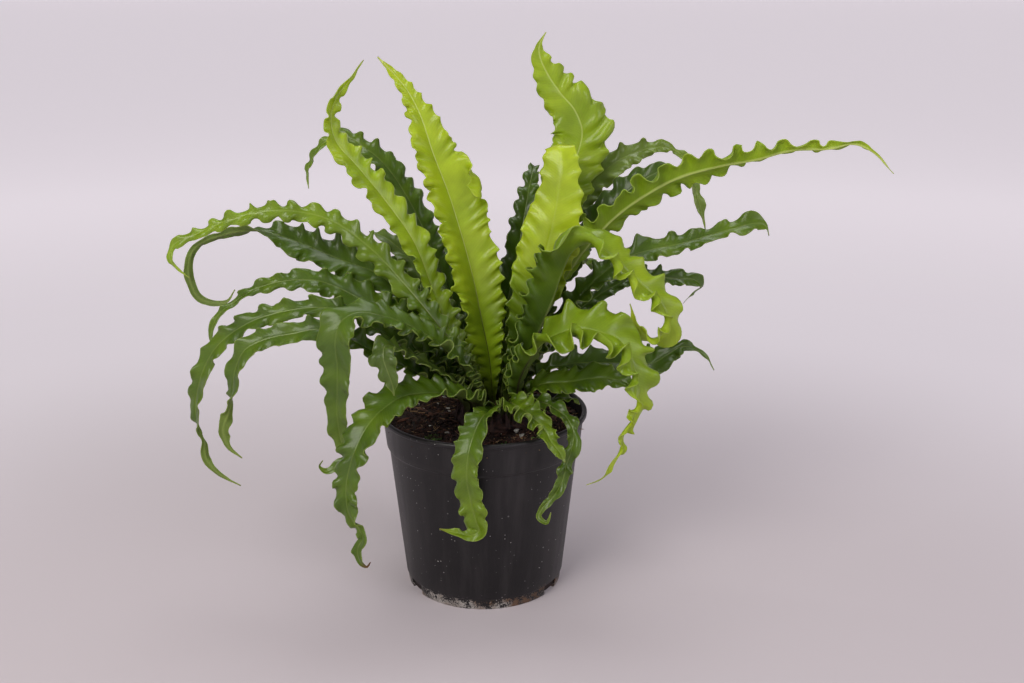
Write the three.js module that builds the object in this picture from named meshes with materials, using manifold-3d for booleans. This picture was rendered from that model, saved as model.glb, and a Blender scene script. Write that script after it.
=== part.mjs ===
// A potted bird's nest fern with waved, lasagne-like fronds, in a black nursery pot.
// Millimetres, +Z up. The origin is the middle of the pot's flat underside.
// -Y is the front, the side the fern is looked at from. +X is to the right.
import * as THREE from 'three';
import { mergeVertices } from 'three/addons/utils/BufferGeometryUtils.js';
import Module from 'manifold-3d';

const wasm = await Module();
wasm.setup();

// Driving dimensions of the pot: a 17 cm nursery pot with a rolled lip and a collar
const pot = {
  height: 150,
  rimRadius: 85,
  baseRadius: 65,
  collarHeight: 28,
  collarStep: 1.8,
  lip: 2.4,
  lipDepth: 4.5,
  edge: 0.8, // bevel where the wall meets the underside
  wall: 1.6,
  floor: 2.4,
  sides: 48,
};
const drain = { width: 17, height: 9, reach: 8, past: 10, turns: [-33, 88, 209] };

// Soil, and the short scaly rootstock that stands in a plain hole in it
const soil = { top: 139, lump: 1.6, lumpSpans: [9.5, 8, 5.5], rings: 6, sides: 32 };
const crown = {
  middle: [10, 0],
  radius: 35,
  foot: 122,
  top: 153,
  outline: [[0.7, 122], [0.92, 131], [1, 140], [0.93, 145.85], [0.62, 151.2]], // share of radius, height
  sides: 20,
};
const socket = { low: 4.3, high: 5.1, depth: 24, sides: 7 }; // hole in it for each frond's root
const clearance = 0.35; // between a piece and what it stands in

// Blade of a frond
const blade = {
  root: 140, // height of the cut end in the rootstock
  neck: 159, // height where it is free of the rootstock
  splay: 1.06, // how much further out it is there
  rootWidth: 5,
  half: 0.5, // half its thickness
  ridge: 1.3, // how far the midrib stands out below, at the root
  ridgeTip: 0.3, // and at the tip
  fold: [50, 13], // degrees that each half is folded up, at the root and from the middle on
  wave: 13.5, // length of half a wave along the margin
  frill: 1.25, // wave height over the square root of the half width
  frillLimit: 0.5, // wave height over the half width, where it is narrow
  scallop: 0.1, // how much a crest widens the blade
};
// Shares of the length between which each of these changes from its first value to its last
const spans = {
  roll: [0.1, 0.6],
  fold: [0.05, 0.5],
  wave: [0.02, 0.22],
  scallop: [0, 0.2],
  ridge: [0, 0.8],
};

const tones = {
  lime: { color: 0xa4bd3c, roughness: 0.42 },
  fresh: { color: 0x6f9a2c, roughness: 0.42 },
  mid: { color: 0x4e7a28, roughness: 0.4 },
  dark: { color: 0x3a5c20, roughness: 0.4 },
};

// Each frond: its root as distance and turn from the middle of the rootstock, the way it
// heads, how far it rolls about its own midrib from root to tip, and its midrib as
// x, y, z and full width. Angles in degrees, 0 is +X and 90 is the back.
const fronds = [
  {
    name: 'frond_tall_left', tone: 'lime', root: [7, 110], heading: 100, roll: [-25, -5], fold: [32, 12],
    rib: [[5, 8, 190, 20], [-1, 9, 222, 34], [-8, 11, 258, 45], [-17, 12, 293, 48], [-27, 14, 326, 46],
      [-38, 15, 356, 39], [-47, 18, 384, 26], [-56, 21, 402, 16], [-69, 25, 418, 9], [-80, 28, 429, 3]],
  },
  {
    name: 'frond_tall_right_front', tone: 'lime', root: [7, 350], heading: 75, roll: [0, 0],
    rib: [[24, -2, 190, 16], [31, -4, 220, 28], [42, -4, 252, 38], [51, -4, 285, 42], [58, -3, 318, 43],
      [61, 0, 345, 42], [61, 8, 362, 38], [60, 19, 361, 30], [58, 27, 348, 16], [57, 29, 332, 4]],
  },
  {
    name: 'frond_tall_right_back', tone: 'lime', root: [14, 65], heading: 80, roll: [0, 0],
    rib: [[21, 19, 186, 14], [31, 26, 214, 22], [50, 34, 274, 34], [67, 40, 324, 42], [79, 44, 356, 48],
      [81, 44, 370, 48], [75, 44, 386, 42], [63, 44, 400, 33], [52, 42, 416, 23], [46, 40, 430, 12],
      [46, 39, 438, 6], [51, 38, 447, 2.5]],
  },
  {
    name: 'frond_upright_behind', tone: 'dark', root: [12, 100], heading: 85, roll: [0, 0],
    rib: [[14, 30, 195, 14], [22, 41, 236, 21], [30, 50, 272, 23], [36, 62, 302, 19], [41, 78, 324, 13],
      [45, 96, 334, 8], [48, 112, 328, 3]],
  },
  {
    name: 'frond_left_high_curl', tone: 'lime', root: [12, 185], heading: 185, roll: [-25, -45],
    rib: [[-13, -5, 190, 14], [-26, -7.5, 216, 19], [-39, -10.5, 252, 24], [-53, -14, 292, 27],
      [-75, -16, 326, 26], [-94, -18, 351, 24], [-109, -20, 370, 20], [-112, -21, 387, 15],
      [-107, -22, 403, 9], [-97, -23, 415, 5], [-86, -24, 430, 3]],
  },
  {
    name: 'frond_left_high_back', tone: 'dark', root: [12, 148], heading: 155, roll: [-20, -30],
    rib: [[-10, 20, 190, 13], [-19, 32, 216, 17], [-34, 40, 255, 24], [-58, 48, 310, 26],
      [-79, 52, 342, 24], [-97, 54, 357, 19], [-115, 58, 365, 12], [-132, 60, 356, 9],
      [-143, 62, 336, 8], [-143, 62, 321, 3]],
  },
  {
    name: 'frond_left_inner_short', tone: 'mid', root: [18, 166], heading: 172, roll: [-20, -30],
    rib: [[-17, 9.5, 206, 12], [-31, 13, 232, 16], [-47, 15, 257, 18], [-62, 18, 275, 17],
      [-78, 21, 288, 12], [-91, 25, 292, 4]],
  },
  {
    name: 'frond_left_long_arch', tone: 'fresh', root: [18, 194], heading: 186, roll: [-20, -50],
    rib: [[-18, -22.5, 202, 14], [-31, -29, 224, 18], [-59, -30, 261, 24], [-87, -26, 291, 24],
      [-119, -17, 311, 20], [-156, -20, 318, 17], [-190, -22, 312, 13], [-217, -22, 301, 10],
      [-237, -22, 291, 9], [-239, -23, 280, 6], [-225, -24, 266, 3]],
  },
  {
    name: 'frond_left_dark_arch', tone: 'mid', root: [23, 172], heading: 176, roll: [-15, -48],
    rib: [[-24, 2, 186, 12], [-42, 3, 216, 18], [-62, 6, 241, 24], [-83, 10, 260, 27],
      [-115, 11, 273, 28], [-147, 12, 287, 23], [-178, 12, 296, 16], [-207, 12, 292, 8],
      [-228, 11, 282, 7], [-234, 10, 263, 9], [-226, 9, 241, 7], [-206, 8, 239, 5], [-198, 8, 249, 3]],
  },
  {
    name: 'frond_left_back_short', tone: 'dark', root: [23, 150], heading: 163, roll: [-15, -25],
    rib: [[-20, 19, 190, 11], [-35, 28, 222, 16], [-54, 35, 246, 18], [-73, 39, 258, 18],
      [-94, 41, 269, 14], [-110, 42, 275, 9], [-123, 44, 271, 3]],
  },
  {
    name: 'frond_left_second_arch', tone: 'mid', root: [25, 187], heading: 187, roll: [-15, -48],
    rib: [[-26, -9, 182, 12], [-45, -13, 206, 18], [-70, -16, 230, 23], [-100, -18, 250, 25],
      [-127, -22, 263, 20], [-152, -25, 264, 15], [-175, -26, 258, 10], [-193, -26, 247, 7],
      [-206, -26, 236, 6], [-212, -26, 220, 6], [-211, -26, 210, 3]],
  },
  {
    name: 'frond_left_long_droop', tone: 'mid', root: [27, 202], heading: 192, roll: [-15, -48],
    rib: [[-29, -18, 180, 12], [-50, -28, 201, 16], [-80, -41, 228, 17], [-110, -48, 247, 16],
      [-138, -49, 248, 15], [-173, -48, 239, 15], [-199, -46, 222, 17], [-213, -46, 203, 16],
      [-222, -46, 176, 14], [-223, -46, 158, 12], [-219, -46, 142, 9], [-217, -47, 125, 8],
      [-209, -48, 114, 6], [-192, -49, 104, 3]],
  },
  {
    name: 'frond_left_third_droop', tone: 'mid', root: [30, 216], heading: 198, roll: [-15, -48],
    rib: [[-27, -26, 172, 11], [-48, -41, 191, 15], [-79, -56, 214, 17], [-118, -65, 236, 17],
      [-143, -65, 233, 16], [-163, -66, 229, 16], [-178, -67, 221, 16], [-186, -68, 205, 15],
      [-189, -68, 188, 12], [-193, -68, 172, 9], [-198, -68, 157, 8], [-194, -69, 144, 5],
      [-185, -70, 136, 3]],
  },
  {
    name: 'frond_left_curly_droop', tone: 'mid', root: [21, 218], heading: 212, roll: [-15, -20],
    rib: [[-12, -32.5, 189, 15], [-26, -48, 212, 22], [-46, -56, 231, 27], [-71, -64, 245, 30],
      [-92, -72, 251, 30], [-104, -80, 246, 30], [-108, -84, 232, 30], [-107, -86, 215, 28],
      [-108, -85, 195, 22], [-109, -84, 177, 18], [-107, -84, 155, 15], [-103, -84, 142, 9],
      [-110, -85, 134, 6], [-119, -85, 134, 3]],
  },
  {
    name: 'frond_left_small_bow', tone: 'mid', root: [28, 232], heading: 222, roll: [-10, -15],
    rib: [[-20, -33, 178, 14], [-37, -47, 198, 20], [-53, -63, 213, 22], [-64, -74, 224, 21],
      [-72, -82, 228, 20], [-73, -88, 221, 20], [-70, -90, 211, 18], [-67, -90, 202, 11],
      [-66, -89, 192, 3]],
  },
  {
    name: 'frond_front_left_low_droop', tone: 'fresh', root: [28, 252], heading: 228, roll: [-10, -20],
    rib: [[-6, -38, 167, 12], [-19, -55, 179, 17], [-40, -70, 187, 24], [-60, -80, 188, 29],
      [-74, -90, 182, 29], [-84, -100, 174, 28], [-92, -108, 161, 25], [-98, -113, 145, 20],
      [-101, -115, 128, 17], [-99, -116, 108, 13], [-93, -116, 98, 8], [-90, -116, 90, 7],
      [-94, -116, 82, 8], [-93, -117, 72, 6], [-88, -117, 67, 4], [-85, -117, 71, 2.5]],
  },
  {
    name: 'frond_front_middle_droop', tone: 'fresh', root: [28, 272], heading: 262, roll: [0, 0],
    rib: [[7, -42, 161, 10], [0, -66, 167, 15], [-6, -84, 162, 18], [-11, -94, 149, 19],
      [-13, -97, 130, 19], [-10, -98, 111, 18], [-6, -98, 94, 17], [-4, -98, 82, 13],
      [-11, -99, 79, 8], [-22, -100, 85, 5], [-34, -100, 89, 2.5]],
  },
  {
    name: 'frond_front_right_curly', tone: 'fresh', root: [28, 292], heading: 292, roll: [0, 0],
    rib: [[21, -38, 167, 9], [29, -58, 170, 12], [38, -72, 167, 12], [45, -80, 162, 12],
      [51, -87, 153, 11], [57, -90, 146, 8], [61, -92, 139, 3]],
  },
  {
    name: 'frond_front_right_droop', tone: 'mid', root: [28, 312], heading: 318, roll: [10, 20],
    rib: [[34, -29, 162, 9], [44, -40, 169, 11], [56, -52, 167, 12], [65, -62, 162, 12],
      [69, -70, 153, 12], [67, -75, 142, 12], [63, -77, 130, 12], [60, -79, 118, 11],
      [53, -81, 106, 9], [45, -83, 98, 6], [42, -85, 91, 5], [48, -87, 87, 4], [51, -88, 96, 2.5]],
  },
  {
    name: 'frond_right_low', tone: 'mid', root: [28, 332], heading: 340, roll: [10, 25],
    rib: [[44, -20, 175, 17], [68, -29, 181, 21], [91, -37, 187, 20], [106, -43, 187, 15],
      [114, -47, 184, 8], [119, -50, 178, 3]],
  },
  {
    name: 'frond_right_flat', tone: 'dark', root: [28, 350], heading: 358, roll: [10, 40],
    rib: [[47, -4, 180, 13], [70, -4, 190, 21], [94, -4, 192, 23], [119, -6, 192, 22],
      [138, -8, 192, 22], [149, -9, 197, 12], [160, -10, 204, 9], [171, -11, 202, 6],
      [180, -12, 195, 4], [186, -13, 185, 2.5]],
  },
  {
    name: 'frond_right_lime_droop', tone: 'lime', root: [21, 322], heading: 328, roll: [10, 30],
    rib: [[28, -29, 180, 12], [35, -43.5, 203, 18], [48, -56, 224, 27], [70, -64, 235, 32],
      [88, -69, 234, 32], [103, -69, 227, 28], [112, -72, 211, 28], [117, -74, 195, 26],
      [118, -75, 181, 19], [114, -76, 168, 15], [107, -77, 158, 12], [104, -78, 143, 9],
      [97, -80, 130, 6], [89, -81, 120, 4], [78, -82, 116, 2.5]],
  },
  {
    name: 'frond_right_lime_arch', tone: 'lime', root: [13, 318], heading: 342, roll: [10, 30],
    rib: [[28, -17.5, 186, 14], [36, -25, 204, 20], [54, -31, 249, 31], [62, -35, 275, 35],
      [70, -38, 291, 33], [82, -40, 296, 32], [95, -42, 288, 30], [108, -43, 276, 27],
      [120, -44, 265, 26], [130, -45, 253, 27], [136, -46, 240, 24], [135, -46, 228, 18],
      [127, -47, 225, 12], [118, -48, 234, 7], [112, -48, 250, 2.5]],
  },
  {
    name: 'frond_right_longest', tone: 'fresh', root: [14, 5], heading: 350, roll: [10, -65],
    rib: [[38, 3, 195, 13], [52, 6, 228, 18], [66, 7, 256, 22], [80, 4, 279, 24], [104, 0, 307, 25],
      [128, -8, 327, 25], [151, -16, 341, 24], [180, -26, 351, 23], [205, -35, 357, 20],
      [230, -43, 365, 15], [255, -50, 367, 10], [271, -55, 371, 7], [284, -58, 366, 5],
      [301, -60, 350, 2.5]],
  },
  {
    name: 'frond_right_back_high', tone: 'dark', root: [19, 44], heading: 32, roll: [10, 30],
    rib: [[31, 29, 188, 12], [41, 41, 222, 16], [51, 50, 252, 22], [63, 57, 280, 26], [85, 62, 315, 28],
      [107, 62, 339, 27], [128, 64, 350, 18], [150, 65, 354, 10], [165, 65, 348, 8],
      [176, 64, 325, 8], [183, 63, 304, 10], [188, 62, 285, 3]],
  },
  {
    name: 'frond_right_back_broad', tone: 'dark', root: [19, 22], heading: 18, roll: [10, 40],
    rib: [[37, 17, 190, 12], [47, 24, 215, 16], [59, 29, 240, 20], [72, 34, 264, 24], [91, 36, 293, 28],
      [112, 38, 316, 27], [133, 39, 332, 22], [150, 40, 339, 13], [163, 41, 336, 4]],
  },
  {
    name: 'frond_right_middle', tone: 'dark', root: [24, 8], heading: 8, roll: [10, 42],
    rib: [[46, 9, 189, 13], [61, 12, 214, 18], [77, 15, 236, 20], [93, 19, 253, 22], [113, 22, 268, 24],
      [136, 24, 276, 24], [162, 25, 281, 21], [186, 26, 288, 14], [205, 26, 293, 19],
      [220, 26, 297, 18], [230, 26, 295, 13], [233, 26, 287, 4]],
  },
  {
    name: 'frond_right_back_narrow', tone: 'dark', root: [26, 34], heading: 20, roll: [10, 42],
    rib: [[43, 20, 184, 11], [62, 28, 205, 13], [84, 36, 226, 14], [115, 42, 244, 15], [134, 45, 249, 15],
      [157, 46, 247, 16], [178, 47, 245, 13], [184, 48, 239, 8], [177, 49, 233, 6], [170, 50, 224, 2.5]],
  },
  {
    name: 'frond_right_rim_young', tone: 'mid', root: [32, 342], heading: 348, roll: [10, 15],
    rib: [[50, -11, 158, 8], [60, -12, 162, 11], [70, -13, 162, 9], [78, -14, 157, 3]],
  },
  {
    name: 'frond_back_left_high', tone: 'mid', root: [18, 122], heading: 112, roll: [0, 0],
    rib: [[-3, 34, 190, 14], [-13, 60, 225, 22], [-26, 88, 250, 26], [-40, 125, 260, 24],
      [-52, 160, 252, 17], [-60, 185, 231, 10], [-64, 198, 205, 6], [-66, 204, 182, 2.5]],
  },
  {
    name: 'frond_back_middle_high', tone: 'mid', root: [20, 82], heading: 88, roll: [0, 0],
    rib: [[14, 38, 186, 14], [15, 64, 212, 22], [14, 95, 232, 25], [15, 130, 238, 22], [15, 160, 228, 15],
      [14, 182, 207, 8], [13, 192, 186, 2.5]],
  },
  {
    name: 'frond_back_right_high', tone: 'mid', root: [23, 62], heading: 56, roll: [0, 0],
    rib: [[27, 42, 184, 13], [40, 66, 212, 20], [58, 94, 234, 24], [78, 122, 244, 22], [98, 148, 238, 15],
      [112, 166, 220, 8], [120, 176, 199, 2.5]],
  },
  {
    name: 'frond_back_left_low', tone: 'mid', root: [25, 135], heading: 136, roll: [0, 0],
    rib: [[-16, 38, 177, 13], [-36, 64, 198, 20], [-62, 92, 211, 23], [-92, 119, 211, 20],
      [-118, 142, 197, 13], [-134, 156, 176, 7], [-141, 162, 156, 2.5]],
  },
  {
    name: 'frond_back_right_low', tone: 'mid', root: [29, 48], heading: 42, roll: [0, 0],
    rib: [[40, 38, 172, 12], [62, 58, 186, 18], [90, 80, 192, 20], [116, 98, 184, 16], [136, 112, 164, 9],
      [146, 120, 144, 2.5]],
  },
  {
    name: 'frond_back_middle_low', tone: 'mid', root: [27, 95], heading: 92, roll: [0, 0],
    rib: [[7, 46, 169, 12], [5, 70, 181, 18], [2, 100, 185, 20], [-2, 128, 175, 16], [-4, 148, 155, 9],
      [-5, 158, 134, 2.5]],
  },
];

const rad = THREE.MathUtils.degToRad;
const ease = THREE.MathUtils.smoothstep;
const mix = THREE.MathUtils.lerp;

// A point at a distance and a turn from the middle of the rootstock
function fromCrown(distance, turn, z) {
  const [x, y] = crown.middle;
  return new THREE.Vector3(x + distance * Math.cos(rad(turn)), y + distance * Math.sin(rad(turn)), z);
}

// The midrib as a smooth curve with a frame at each of its steps: forward, across to the
// left margin's far side, and up out of the upper face. The frame turns no more than it must.
function framesAlong(frond, steps) {
  const [distance, turn] = frond.root;
  const spots = [
    [...fromCrown(distance, turn, blade.root), blade.rootWidth],
    [...fromCrown(distance * blade.splay, turn, blade.neck), blade.rootWidth + 1],
    ...frond.rib,
  ];
  const curve = new THREE.CatmullRomCurve3(spots.map(([x, y, z]) => new THREE.Vector3(x, y, z)));
  const heading = rad(frond.heading);
  let across = new THREE.Vector3(-Math.sin(heading), Math.cos(heading), 0);
  const frames = [];
  for (let i = 0; i <= steps; i++) {
    const share = i / steps;
    const t = curve.getUtoTmapping(share);
    const forward = curve.getTangent(t);
    across = across.clone().addScaledVector(forward, -across.dot(forward)).normalize();
    const up = forward.clone().cross(across);
    const roll = rad(mix(...frond.roll, ease(share, ...spans.roll)));
    const at = t * (spots.length - 1);
    const before = Math.min(Math.floor(at), spots.length - 2);
    frames.push({
      share,
      point: curve.getPoint(t),
      across: across.clone().multiplyScalar(Math.cos(roll)).addScaledVector(up, Math.sin(roll)),
      up: up.clone().multiplyScalar(Math.cos(roll)).addScaledVector(across, -Math.sin(roll)),
      halfWidth: mix(spots[before][3], spots[before + 1][3], at - before) / 2,
    });
  }
  return { frames, length: curve.getLength() };
}

// Half waves along one margin: an even number, a few on the shortest frond
function halfWaves(length) {
  return Math.max(10, 2 * Math.round(length / blade.wave / 2));
}

// One closed blade. It has five lines along it: two margins that wave up and down, the midrib,
// and a line halfway between on each side. The margins have two steps for each of the others'.
// Upper and lower face are split into triangles alike, so the thin wall never crosses itself.
function bladeGeometry(frond) {
  const finest = 6;
  const count = halfWaves(framesAlong(frond, 10).length);
  const { frames } = framesAlong(frond, count * finest);
  const spots = [];
  const lines = [];
  for (const side of [-1, -0.5, 0, 0.5, 1]) {
    const margin = Math.abs(side) === 1;
    const stride = margin ? 1 : 2;
    const line = { above: [], below: [] };
    for (let j = 0; j <= count; j += stride) {
      const { share, point, across, up, halfWidth } = frames[j * finest];
      const fold = rad(mix(...(frond.fold ?? blade.fold), ease(share, ...spans.fold)));
      const crest = (j % 2 === 0 ? -1 : 1) * side;
      const height = Math.min(blade.frill * Math.sqrt(halfWidth), blade.frillLimit * halfWidth + 0.2);
      const wave = margin ? crest * height * ease(share, ...spans.wave) : 0;
      const scallop = margin ? blade.scallop * crest * side * ease(share, ...spans.scallop) : 0;
      const reach = side * halfWidth * (1 + scallop);
      const middle = point.clone()
        .addScaledVector(across, reach * Math.cos(fold))
        .addScaledVector(up, Math.abs(reach) * Math.sin(fold) + wave);
      const ridge = side === 0 ? mix(blade.ridge, blade.ridgeTip, ease(share, ...spans.ridge)) : 0;
      line.above.push(spots.push(middle.clone().addScaledVector(up, blade.half)) - 1);
      line.below.push(spots.push(middle.clone().addScaledVector(up, -blade.half - ridge)) - 1);
    }
    lines.push(line);
  }
  return closedBlade(spots, lines, count);
}

// Triangles of a blade from its five lines
function closedBlade(spots, lines, count) {
  const faces = [];
  const both = (pick) => {
    faces.push(pick('above'));
    faces.push(pick('below').reverse());
  };
  for (let k = 0; k < count / 2; k++) {
    const j = 2 * k;
    for (const [low, high] of [[1, 2], [2, 3]]) {
      both((f) => [lines[low][f][k], lines[low][f][k + 1], lines[high][f][k + 1]]);
      both((f) => [lines[low][f][k], lines[high][f][k + 1], lines[high][f][k]]);
    }
    both((f) => [lines[0][f][j], lines[0][f][j + 1], lines[1][f][k]]);
    both((f) => [lines[0][f][j + 1], lines[1][f][k + 1], lines[1][f][k]]);
    both((f) => [lines[0][f][j + 1], lines[0][f][j + 2], lines[1][f][k + 1]]);
    both((f) => [lines[3][f][k], lines[4][f][j + 1], lines[4][f][j]]);
    both((f) => [lines[3][f][k], lines[3][f][k + 1], lines[4][f][j + 1]]);
    both((f) => [lines[3][f][k + 1], lines[4][f][j + 2], lines[4][f][j + 1]]);
  }
  for (let j = 0; j < count; j++) {
    const [left, right] = [lines[0], lines[4]];
    faces.push([left.above[j + 1], left.above[j], left.below[j]]);
    faces.push([left.above[j + 1], left.below[j], left.below[j + 1]]);
    faces.push([right.above[j], right.above[j + 1], right.below[j + 1]]);
    faces.push([right.above[j], right.below[j + 1], right.below[j]]);
  }
  for (let n = 0; n < 4; n++) {
    const [a, b] = [lines[n], lines[n + 1]];
    faces.push([a.above[0], b.above[0], b.below[0]], [a.above[0], b.below[0], a.below[0]]);
    const [aUp, aDown, bUp, bDown] = [a.above.at(-1), a.below.at(-1), b.above.at(-1), b.below.at(-1)];
    faces.push([bUp, aUp, aDown], [bUp, aDown, bDown]);
  }
  const geometry = new THREE.BufferGeometry();
  geometry.setAttribute('position', new THREE.Float32BufferAttribute(spots.flatMap((p) => [...p]), 3));
  geometry.setIndex(faces.flat());
  return geometry;
}

// A closed geometry as a solid for joining and cutting, and back
function solidOf(geometry) {
  const bare = geometry.clone();
  bare.deleteAttribute('normal');
  bare.deleteAttribute('uv');
  const merged = mergeVertices(bare, 1e-4);
  const index = [...merged.index.array];
  const triangles = [];
  for (let i = 0; i < index.length; i += 3) {
    const [a, b, c] = index.slice(i, i + 3);
    if (a !== b && b !== c && c !== a) triangles.push(a, b, c);
  }
  const vertProperties = new Float32Array(merged.attributes.position.array);
  const mesh = new wasm.Mesh({ numProp: 3, vertProperties, triVerts: new Uint32Array(triangles) });
  return new wasm.Manifold(mesh);
}

function geometryOf(solid) {
  const mesh = solid.getMesh();
  const geometry = new THREE.BufferGeometry();
  geometry.setAttribute('position', new THREE.BufferAttribute(mesh.vertProperties, 3));
  geometry.setIndex(new THREE.BufferAttribute(mesh.triVerts, 1));
  return geometry;
}

// The largest of a solid's loose bodies
function largest(solid) {
  return solid.decompose().sort((a, b) => b.volume() - a.volume())[0];
}

// A round body from a profile of radius and height that starts and ends on the axis
function turned(profile, sides) {
  const outline = profile.map(([radius, z]) => new THREE.Vector2(radius, z));
  return new THREE.LatheGeometry(outline, sides).rotateX(Math.PI / 2);
}

// Pot: flat floor, tapering wall, a collar above a small step, and a rolled lip
function potSolid() {
  const collarFoot = pot.height - pot.collarHeight;
  const lean = (pot.rimRadius - pot.lip - pot.collarStep - pot.baseRadius) / pot.height;
  const wallAt = (z) => pot.baseRadius + lean * z;
  const inside = (z) => wallAt(z) - pot.wall;
  const collar = (z) => wallAt(z) + pot.collarStep;
  const profile = [
    [0, 0],
    [pot.baseRadius - pot.edge, 0],
    [wallAt(pot.edge), pot.edge],
    [wallAt(collarFoot - 1), collarFoot - 1],
    [collar(collarFoot + 0.6), collarFoot + 0.6],
    [collar(pot.height - pot.lipDepth), pot.height - pot.lipDepth],
    [pot.rimRadius - 0.5, pot.height - 3.4],
    [pot.rimRadius, pot.height - 2],
    [pot.rimRadius - 0.5, pot.height - 0.6],
    [pot.rimRadius - pot.wall, pot.height],
    [collar(pot.height) - pot.wall, pot.height - 0.5],
    [collar(collarFoot) - pot.wall, collarFoot + 0.6],
    [inside(collarFoot - 1), collarFoot - 1],
    [inside(pot.floor), pot.floor],
    [0, pot.floor],
  ];
  let solid = solidOf(turned(profile, pot.sides));
  for (const turn of drain.turns) {
    const slot = new THREE.BoxGeometry(drain.reach + drain.past, drain.width, 2 * drain.height);
    slot.translate(pot.baseRadius + (drain.past - drain.reach) / 2, 0, 0);
    slot.rotateZ(rad(turn));
    solid = solid.subtract(solidOf(slot));
  }
  return { solid, inside };
}

// Rootstock: a low dark mound that swells at the soil and narrows below it, or the hole for it
function crownProfile(grow) {
  const side = crown.outline.map(([share, z]) => [share * (crown.radius + grow), z]);
  side[0][1] -= grow;
  return [[0, crown.foot - grow], ...side, [0, crown.top + grow]];
}

// Plain round hole for a frond's root, leaning as the root does
function socketSolid({ root: [distance, turn] }) {
  const foot = fromCrown(distance, turn, blade.root - clearance);
  const lean = fromCrown(distance * blade.splay, turn, blade.neck).sub(foot).normalize();
  const hole = new THREE.CylinderGeometry(socket.high, socket.low, socket.depth, socket.sides);
  hole.translate(0, socket.depth / 2, 0);
  hole.applyQuaternion(new THREE.Quaternion().setFromUnitVectors(new THREE.Vector3(0, 1, 0), lean));
  return solidOf(hole.translate(...foot));
}

function crownSolid(grow) {
  return solidOf(turned(crownProfile(grow), crown.sides).translate(...crown.middle, 0));
}

// Soil: fills the pot, lumpy on top, with the plain hole that the rootstock stands in
function soilSolid(inside) {
  const profile = [[0, pot.floor + clearance]];
  profile.push([inside(pot.floor) - clearance - 0.2, pot.floor + clearance]);
  const edge = inside(soil.top) - clearance;
  for (let i = soil.rings; i >= 0; i--) profile.push([(edge * i) / soil.rings, soil.top]);
  const geometry = turned(profile, soil.sides);
  const spot = geometry.attributes.position;
  for (let i = 0; i < spot.count; i++) {
    const [x, y, z] = [spot.getX(i), spot.getY(i), spot.getZ(i)];
    if (z < soil.top - 1) continue;
    const [alongX, alongY, slanting] = soil.lumpSpans;
    const lump = Math.sin(x / alongX) * Math.cos(y / alongY) + 0.7 * Math.sin((x + y) / slanting + 1);
    spot.setZ(i, z + soil.lump * lump * (1 - 0.8 * Math.hypot(x, y) / edge));
  }
  return solidOf(geometry).subtract(crownSolid(clearance));
}

function add(name, geometry, { color, roughness }) {
  geometry.computeVertexNormals();
  const mesh = new THREE.Mesh(geometry, new THREE.MeshStandardMaterial({ color, roughness, metalness: 0 }));
  mesh.name = name;
  group.add(mesh);
}

const group = new THREE.Group();
const { solid: potBody, inside } = potSolid();
add('pot', geometryOf(potBody), { color: 0x1d1b1f, roughness: 0.38 });
add('soil', geometryOf(soilSolid(inside)), { color: 0x3a2620, roughness: 0.95 });

let rootstock = crownSolid(0);
for (const frond of fronds) rootstock = rootstock.subtract(socketSolid(frond));
add('rootstock', geometryOf(largest(rootstock)), { color: 0x2a1c18, roughness: 0.9 });

for (const frond of fronds) add(frond.name, bladeGeometry(frond), tones[frond.tone]);

export default group;
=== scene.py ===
# Potted bird's nest fern with waved fronds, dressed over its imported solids
# Lengths are millimetres, and metres for lights and paper; +Z is up, -Y is the front, +X is to the right
import math
import random

import bpy
import numpy as np
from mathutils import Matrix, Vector


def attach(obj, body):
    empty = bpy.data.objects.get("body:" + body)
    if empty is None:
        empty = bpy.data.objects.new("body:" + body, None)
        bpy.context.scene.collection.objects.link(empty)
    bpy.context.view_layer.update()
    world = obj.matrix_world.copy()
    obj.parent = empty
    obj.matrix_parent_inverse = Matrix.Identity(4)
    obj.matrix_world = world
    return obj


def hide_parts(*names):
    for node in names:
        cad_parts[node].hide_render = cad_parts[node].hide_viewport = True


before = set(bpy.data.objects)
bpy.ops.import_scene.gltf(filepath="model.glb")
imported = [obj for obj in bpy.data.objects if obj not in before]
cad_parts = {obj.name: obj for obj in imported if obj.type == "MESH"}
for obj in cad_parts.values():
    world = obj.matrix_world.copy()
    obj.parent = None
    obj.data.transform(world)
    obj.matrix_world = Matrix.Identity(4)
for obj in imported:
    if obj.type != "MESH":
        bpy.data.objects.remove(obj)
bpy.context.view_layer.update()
mm = 0.001
print("frame loaded,", len(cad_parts), "nodes")


def ease(value, low, high):
    # 0 below low, 1 above high, and a smooth rise between the two
    share = np.clip((np.asarray(value, float) - low) / (high - low), 0, 1)
    return share * share * (3 - 2 * share)


def mix(a, b, share):
    return a + (b - a) * share


def between(pairs, share):
    # value at each share from a short list of (share, value)
    return np.interp(share, [pair[0] for pair in pairs], [pair[1] for pair in pairs])


def wander(along, span, seed):
    # smooth drift of about -1 to 1, one slow turn every span or so, from three sines of unlike length
    draw = random.Random(seed)
    stretches, usualPeak = (1.0, 0.62, 1.7), 2.2
    total = 0
    for stretch in stretches:
        total = total + np.sin(along / (span * stretch) * 2 * math.pi + draw.uniform(0, 2 * math.pi))
    return total / usualPeak


def readPoints(mesh):
    # the mesh's points as rows of x, y and z
    flat = np.zeros(len(mesh.vertices) * 3)
    mesh.vertices.foreach_get("co", flat)
    return flat.reshape(-1, 3)


def deselectAll():
    bpy.ops.object.select_all(action="DESELECT")


def selectOnly(piece):
    deselectAll()
    bpy.context.view_layer.objects.active = piece
    piece.select_set(True)


def named(name, slot, *nodes):
    # the active object becomes a piece of the plant
    piece = bpy.context.object
    piece.name = name
    piece.data.name = name
    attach(piece, "root")
    if nodes:
        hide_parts(*nodes)
    return piece


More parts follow.
